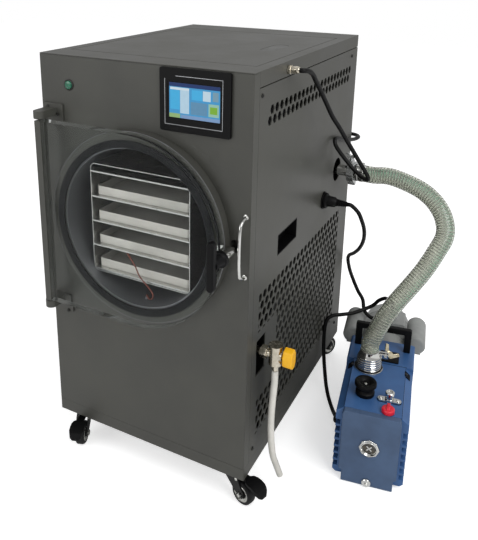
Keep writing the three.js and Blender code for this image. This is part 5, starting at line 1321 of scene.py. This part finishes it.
# The pedal: a lever between the fork's legs that widens into a hood over the wheel.
hood_side = [(18, -17), (18, -12.5), (31, -9), (48, -6.5), (66, -7), (80, -12), (88, -21)]
hood_side += [(87, -26), (82, -23), (66, -13), (52, -11.5), (42, -13), (31, -15)]
hood = profile("y", hood_side, -16, 16)
plan = [(16, -7.3), (43, -7.3), (48, -13), (56, -15.7), (74, -15.7), (83, -12), (87, -6)]
plan += [(87, 6), (83, 12), (74, 15.7), (56, 15.7), (48, 13), (43, 7.3), (16, 7.3)]
carve(hood, profile("z", plan, -40, -5), "INTERSECT")
ease(hood, 1.3, 3, 25)

for corner, (x, y, turn) in CORNERS.items():
    swivel = Matrix.Rotation(math.radians(turn), 4, "Z")
    home = cabinet @ Matrix.Translation(Vector((x, y, 0)) * MM) @ swivel
    wheel, caster = "wheel_" + corner, "caster_" + corner
    dress("caster_fork_" + corner, black_stove, 0.5, 3, 35, body=caster)
    settle(again(bolt), caster + "_axle_nuts", zinc_plate, body=caster, home=home)
    settle(
        again(tyre), wheel + "_tyre", tyre_rubber, "caster_wheel_" + corner,
        body=wheel, home=home,
    )
    settle(again(core), wheel + "_core", moulded_black, body=wheel, home=home)
    settle(again(trim), wheel + "_rings", zinc_plate, body=wheel, home=home)
    if corner.startswith("front"):
        brake = "brake_" + corner
        settle(
            again(hood), brake + "_hood", moulded_black, "brake_pedal_" + corner,
            body=brake, home=home,
        )
        settle(
            again(pedal_bolt), brake + "_pin", zinc_plate, body=brake, home=home,
        )
for pattern in (tyre, core, trim, bolt, hood, pedal_bolt):
    bpy.data.objects.remove(pattern)

# ---------- Refrigeration ----------
# Behind the grille stand a welded compressor can in black enamel, and an aluminium-finned
# condenser with a black fan on its motor's shaft.
dress("compressor", black_stove, 2.5, 3)
fin_stock = new_finish(
    "condenser_aluminium", "#3a3b3b", 0.5, 0.7, texture=(1.6, 0.1, 0.6, (1, 1, 0.1)),
    spread=(0.4, 0.62),
)
dress("condenser", fin_stock, 0.5)
dress("fan_rotor", moulded_black, 0.7, body="fan")

# ---------- Vacuum pump body ----------
# An oil-sealed rotary vane pump: a finned aluminium casting in blue enamel with a raised deck.
# The oil box's front cover is a separate casting, a little greyer, with a bright sight glass.
pump_enamel = new_finish(
    "blue_enamel", "#385d90", 0.4, Specular_IOR_Level=0.4, patches=("#345888", "#3c6294", 45),
    texture=(2.4, 0.08, 0.35), spread=(0.36, 0.48),
)
cover_enamel = new_finish(
    "grey_blue_enamel", "#415470", 0.45, Specular_IOR_Level=0.35,
    patches=("#3c4f6b", "#455a78", 50), texture=(2.2, 0.1, 0.4), spread=(0.42, 0.54),
)
# The casting is drawn a little wider than its solid, and its grooves taller.
PUMP_MIDDLE, SIGHT_Z, DRAIN_Z, DECK = 52, 96.6, 12, 172
SIGHT_AXIS, DRAIN_AXIS = ("y", PUMP_MIDDLE, SIGHT_Z), ("y", PUMP_MIDDLE, DRAIN_Z)
CASTING_SPREAD = 1.11
GROOVE_TOP, GROOVE_PITCH, GROOVE_LIFT = 32.5, 17, 3
casting = copied("pump_body")
for vertex in casting.data.vertices:
    x, y, z = pump.inverted() @ vertex.co / MM
    if z < DECK - 15 and (z - GROOVE_TOP) % GROOVE_PITCH < 0.2:
        z += GROOVE_LIFT
    vertex.co = at(PUMP_MIDDLE + CASTING_SPREAD * (x - PUMP_MIDDLE), y, z, pump)
ease(casting, 1.0, 3, 35)
settle(casting, "pump_body_casting", pump_enamel, "pump_body", home=None)
front = [
    (0, 2), (104, 2), (104, 27), (110, 31), (110, 164), (107, DECK), (-3, DECK), (-6, 164),
    (-6, 31), (0, 27),
]
cover = profile("y", front, 0, 14)
ease(cover, 1.5, 3)
settle(cover, "pump_front_cover_casting", cover_enamel, "pump_front_cover", home=pump)

bezel = turned(
    *SIGHT_AXIS, [(0.2, 20.5), (-3.6, 20.5), (-5, 18.2), (-5, 15.6), (0.2, 15.6)], 8, bored=True,
)
throat = turned(
    *SIGHT_AXIS, [(0.1, 17.4), (-6.4, 16.6), (-6.8, 15.2), (-2.6, 12.6), (0.1, 12.6)], 48,
    bored=True,
)
ease(bezel, 0.4)
ease(throat, 0.4)
# Painted reflection: a thin chrome cross laid just in front of the lens stands for the bright
# X-shaped glint seen on the sight glass.
cross = [block(-7, 7, -2.9, -2.3, -1.2, 1.2), block(-1.2, 1.2, -2.9, -2.3, -7, 7)]
cross = joined(*cross)
cross.location = Vector((PUMP_MIDDLE, 0, SIGHT_Z)) * MM
cross.rotation_euler = (0, math.pi / 4, 0)
settle(joined(cross, throat, bezel), "sight_glass_ring_and_glint", polished_chrome, home=pump)
oil_lens = new_finish(
    "oil_lens", "#1d1a12", 0.06, Coat_Weight=0.6, patches=("#14120d", "#3b321c", 7),
)
lens = turned(*SIGHT_AXIS, [(0, 12.7), (-1.8, 12.7), (-2.3, 8), (-2.5, 2)], 48)
smooth(lens, 50)
settle(lens, "sight_glass_lens", oil_lens, home=pump)
drain = turned(*DRAIN_AXIS, [(0.4, 9.4), (-3.4, 9.4), (-5.2, 7.6)], 40)
key = turned(*DRAIN_AXIS, [(-2, 3.6), (-6, 3.6)], 6)
carve(drain, key)
ease(drain, 0.5, 3)
settle(drain, "oil_drain_plug", polished_chrome, home=pump)

# Painted shade: thin dark strips and blocks stand for the shade in the deck's seams and in its two
# screw pockets, which read as dark lines and squares.
seam_shade_finish = new_finish(
    "seam_shadow", "#070b12", 0.7, Specular_IOR_Level=0.1, patches=("#05080e", "#0a0f18", 10),
)
seam = joined(
    block(-6, 110, 189, 190.4, DECK - 10, DECK + 0.06),
    block(-5.2, -4.5, 14, 189.4, DECK - 3, DECK + 0.06),
    block(108.5, 109.2, 14, 189.4, DECK - 3, DECK + 0.06),
)
for facing in (-1, 1):  # the pocket's mouth follows the deck's edge and the slope beside it
    mouth = [
        (55, DECK + 0.3), (57.7, DECK + 0.3), (67, DECK - 8.8), (67, DECK - 14), (55, DECK - 14),
    ]
    seam = joined(seam, profile("y", [(PUMP_MIDDLE + facing * x, z) for x, z in mouth], 157, 176))
settle(seam, "pump_deck_seam_shade", seam_shade_finish, home=pump)


def on_deck(x, y, outline, sides=64):
    """A turned piece that stands on the deck, each distance taken from its face."""
    return turned("z", x, y, [(DECK + rise, radius) for rise, radius in outline], sides)


pocket_screws = joined(
    *[on_deck(PUMP_MIDDLE + x, 166, [(-6, 3.6), (0.2, 3.6), (0.9, 3)], 6) for x in (-58, 58)]
)
ease(pocket_screws, 0.3)
settle(pocket_screws, "pump_deck_screws", black_zinc, home=pump)

# ---------- Motor and capacitors ----------
# A totally enclosed motor in light grey enamel, its cowl pressed over the rear, with a terminal
# cover on top and two drawn aluminium capacitors in the same grey on its shoulders.
motor_enamel = new_finish(
    "light_grey_enamel", "#8d8f8d", 0.45, Specular_IOR_Level=0.4,
    patches=("#858785", "#959795", 50), texture=(2, 0.08, 0.35), spread=(0.4, 0.52),
)
dress("pump_motor", motor_enamel, 1.2, 3, 28)
for side_name, centre in (("left", PUMP_MIDDLE - 74), ("right", PUMP_MIDDLE + 74)):
    can = turned(
        "y", centre, 160,
        [
            (302, 17), (302.4, 19.5), (304, 21.6), (306.5, 22.5), (396, 22.5), (396.8, 21.7),
            (398.4, 21.7), (399.2, 22.5), (401, 22.2), (402, 20.5),
        ],
        64,
    )
    smooth(can, 40)
    settle(
        can, f"capacitor_{side_name}_can", motor_enamel, "capacitor_" + side_name,
        home=pump,
    )

# ---------- Carry handle and deck fittings ----------
# A flat black moulded handle is bolted across the deck. Ahead of it stand the inlet with its
# steel cuff and wing-nut clamp, the exhaust cap, the gas ballast valve and the oil filler cap.
handle_bar = copied("pump_carry_handle")
ease(handle_bar, 1.6, 3)
settle(
    handle_bar, "pump_carry_handle_bar", moulded_black, "pump_carry_handle",
    home=None,
)

INLET_X, INLET_Y = 29, 165
inlet_top = span("pump_inlet", pump)[5]
base = on_deck(INLET_X, INLET_Y, [(0.3, 31), (2.6, 31), (3, 30.4), (3, 14)], 64)
cuff = [(DECK + 5, 26.5), (DECK + 6, 27.4)]
for i in range(5):  # close ridges, narrowing to the hose
    low, wide = DECK + 7 + 5 * i, (27.4, 27.2, 26.8, 26, 24.6)[i]
    cuff += [(low, wide - 0.8), (low + 1.2, wide), (low + 3.6, wide), (low + 4.6, wide - 0.8)]
cuff += [(DECK + 36, 22.6), (inlet_top - 4, 20.8), (inlet_top - 0.6, 20.6), (inlet_top, 19.8)]
sleeve = turned("z", INLET_X, INLET_Y, cuff, 64)
for piece in (base, sleeve):
    smooth(piece, 38)
settle(joined(base, sleeve), "pump_inlet_cuff", polished_chrome, "pump_inlet", home=pump)
gasket = on_deck(INLET_X, INLET_Y, [(2.9, 28.6), (3.2, 29.6), (5, 29.6), (5.6, 26)], 64)
smooth(gasket, 38)
settle(gasket, "pump_inlet_gasket", door_rubber, home=pump)
pad = block(50, 92, 196, 238, DECK + 0.3, DECK + 3)
ease(round_corners(pad, 2, 3, 4), 0.5)
settle(pad, "inlet_clamp_pad", moulded_black, home=pump)
lug_low, lug_high = DECK + 24, DECK + 33
lugs = joined(
    block(INLET_X + 18, INLET_X + 40, INLET_Y + 6, INLET_Y + 10, lug_low, lug_high),
    block(INLET_X + 18, INLET_X + 40, INLET_Y + 16, INLET_Y + 20, lug_low, lug_high),
    turned("y", INLET_X + 34, lug_low + 4.5, [(INLET_Y + 2, 2.8), (INLET_Y + 30, 2.8)], 20),
)
ease(lugs, 0.5)
settle(lugs, "inlet_clamp_lugs", polished_chrome, home=pump)
polished_brass = new_finish(
    "yellow_brass", "#d8cdae", 0.18, 1.0, patches=("#cbbf9c", "#e4dbc2", 8), spread=(0.12, 0.24),
)
wing = profile(
    "y",
    [
        (-8, -7), (8, -7), (13, 0), (21, 12), (15, 15), (7, 6), (-7, 6), (-15, 15), (-21, 12),
        (-13, 0),
    ],
    -2.6, 2.6,
)
hub = turned("y", 0, 0, [(-6, 6.4), (6, 6.4)], 24)
ease(wing, 0.7, 3)
ease(hub, 0.5)
wing_nut = joined(hub, wing)
wing_nut.location = Vector((INLET_X + 41, INLET_Y + 38, lug_low - 6)) * MM
wing_nut.rotation_euler = (math.radians(-35), math.radians(40), 0)
settle(wing_nut, "inlet_wing_nut", polished_brass, home=pump)

EXHAUST_X, EXHAUST_Y = 31, 68
cap = on_deck(
    EXHAUST_X, EXHAUST_Y,
    [
        (0.3, 19), (2, 19.6), (8, 19.6), (9.4, 17.6), (13, 16), (18, 16.4), (21, 21), (22.6, 22.6),
        (28.6, 22.6), (30.2, 21.6), (30.8, 19.4), (29.6, 14), (25, 10), (24, 3),
    ],
    64,
)
smooth(cap, 40)
settle(cap, "exhaust_cap_body", moulded_black, "exhaust_cap", home=pump)
cap_screw = on_deck(EXHAUST_X, EXHAUST_Y, [(23.9, 3.6), (25.4, 3.4), (26, 1.6)], 24)
ease(cap_screw, 0.3)
settle(cap_screw, "exhaust_cap_screw", polished_chrome, home=pump)

BALLAST_X, BALLAST_Y, BALLAST_HALF = 81, 60, 17  # half the distance between its screws


def ballast_plate(radius, low, high):
    """A plate with round ends about the ballast valve's two screws."""
    outline = [
        (BALLAST_X + end * BALLAST_HALF + radius * math.cos(a), BALLAST_Y + radius * math.sin(a))
        for end in (1, -1)
        for a in [(i / 12 - end / 2) * math.pi for i in range(13)]
    ]
    return profile("z", outline, low, high)


gasket = ballast_plate(7.6, DECK + 0.06, DECK + 0.9)
settle(gasket, "ballast_gasket", door_rubber, home=pump)
flange = ballast_plate(7, DECK + 0.9, DECK + 4.3)
screws = [
    on_deck(BALLAST_X + s * BALLAST_HALF, BALLAST_Y, [(4, 4.2), (5.6, 4.2), (7, 3.2)], 24)
    for s in (-1, 1)
]
stem = on_deck(
    BALLAST_X, BALLAST_Y,
    [
        (0.9, 9), (7.3, 9), (7.8, 8), (14, 8), (14.8, 9.4), (21.2, 9.4), (22.2, 8.4), (22.2, 5.4),
        (20.4, 5),
    ],
    48,
)
ballast = joined(flange, *screws, stem)
ease(ballast, 0.35)
settle(ballast, "gas_ballast_body", polished_chrome, "gas_ballast_valve", home=pump)

red_cap = new_finish(
    "red_nylon", "#e01c34", 0.34, Specular_IOR_Level=0.5, patches=("#c8152b", "#d92036", 14),
)
FILLER_X, FILLER_Y = 81, 24
cap = on_deck(
    FILLER_X, FILLER_Y, [(0.3, 12.2), (0.9, 13), (7.6, 13), (9.4, 11.8), (10.2, 9.6)], 56,
)
ridge = [
    (-9, DECK + 7), (14, DECK + 7), (12.6, DECK + 13), (5, DECK + 15.6), (-4, DECK + 14.6),
    (-8, DECK + 11),
]
grip = profile("x", ridge, -3.2, 3.2)
grip.location = Vector((FILLER_X, FILLER_Y, 0)) * MM
ease(cap, 0.6, 3)
ease(grip, 1.0, 3)
settle(joined(cap, grip), "filler_cap_body", red_cap, "filler_cap", home=pump)

# ---------- Room ----------
# A plain white studio: one large soft lamp above and to the right, a weaker one from the front
# left, a faint one over the lid, and an even pale surround. The floor keeps the shadows.
bpy.ops.mesh.primitive_plane_add(size=14, location=(0, 0, 0))
floor = bpy.context.object
floor.name = "studio_floor"
floor_finish = new_finish("studio_white", "#f4f4f4", 0.9)
tree = floor_finish.node_tree
shader = tree.nodes["Principled BSDF"]
shader.inputs["Emission Color"].default_value = (1, 1, 1, 1)
seen = add_node(tree, "ShaderNodeLightPath")
glow = add_node(
    tree, "ShaderNodeMath", {0: seen.outputs["Is Camera Ray"], 1: 0.55}, operation="MULTIPLY",
)
tree.links.new(glow.outputs[0], shader.inputs["Emission Strength"])
floor.data.materials.append(floor_finish)

world = bpy.data.worlds.new("pale_surround")
bpy.context.scene.world = world
world.use_nodes = True
tree = world.node_tree
surround = tree.nodes["Background"]
surround.inputs["Color"].default_value = (1, 1, 1, 1)
rays = add_node(tree, "ShaderNodeLightPath")
direct = add_node(
    tree, "ShaderNodeMath",
    {0: rays.outputs["Is Camera Ray"], 1: rays.outputs["Is Transmission Ray"]},
    operation="MAXIMUM",
)
strength = add_node(
    tree, "ShaderNodeMapRange", {"Value": direct.outputs[0], "To Min": 0.55, "To Max": 1.0},
)
tree.links.new(strength.outputs[0], surround.inputs["Strength"])


def soft_lamp(name, place, aim, size, power):
    """A square softbox that faces its aim."""
    bpy.ops.object.light_add(type="AREA", location=place)
    lamp = bpy.context.object
    lamp.name = name
    lamp.data.shape = "RECTANGLE"
    lamp.data.size, lamp.data.size_y = size
    lamp.data.energy = power
    lamp.visible_transmission = False  # lamps already pass the clear pieces as shadow rays
    lamp.rotation_euler = (Vector(aim) - Vector(place)).to_track_quat("-Z", "Y").to_euler()


soft_lamp("key_lamp", (1.9, -0.9, 2.3), (0.0, 0.0, 0.45), (1.6, 1.6), 42)
soft_lamp("front_lamp", (-1.6, -2.6, 1.5), (0.0, -0.2, 0.45), (1.8, 1.8), 26)
soft_lamp("top_lamp", (-0.2, 1.0, 2.6), (0.0, 0.1, 0.8), (2.0, 1.4), 4)

bpy.context.scene.view_settings.view_transform = "Standard"
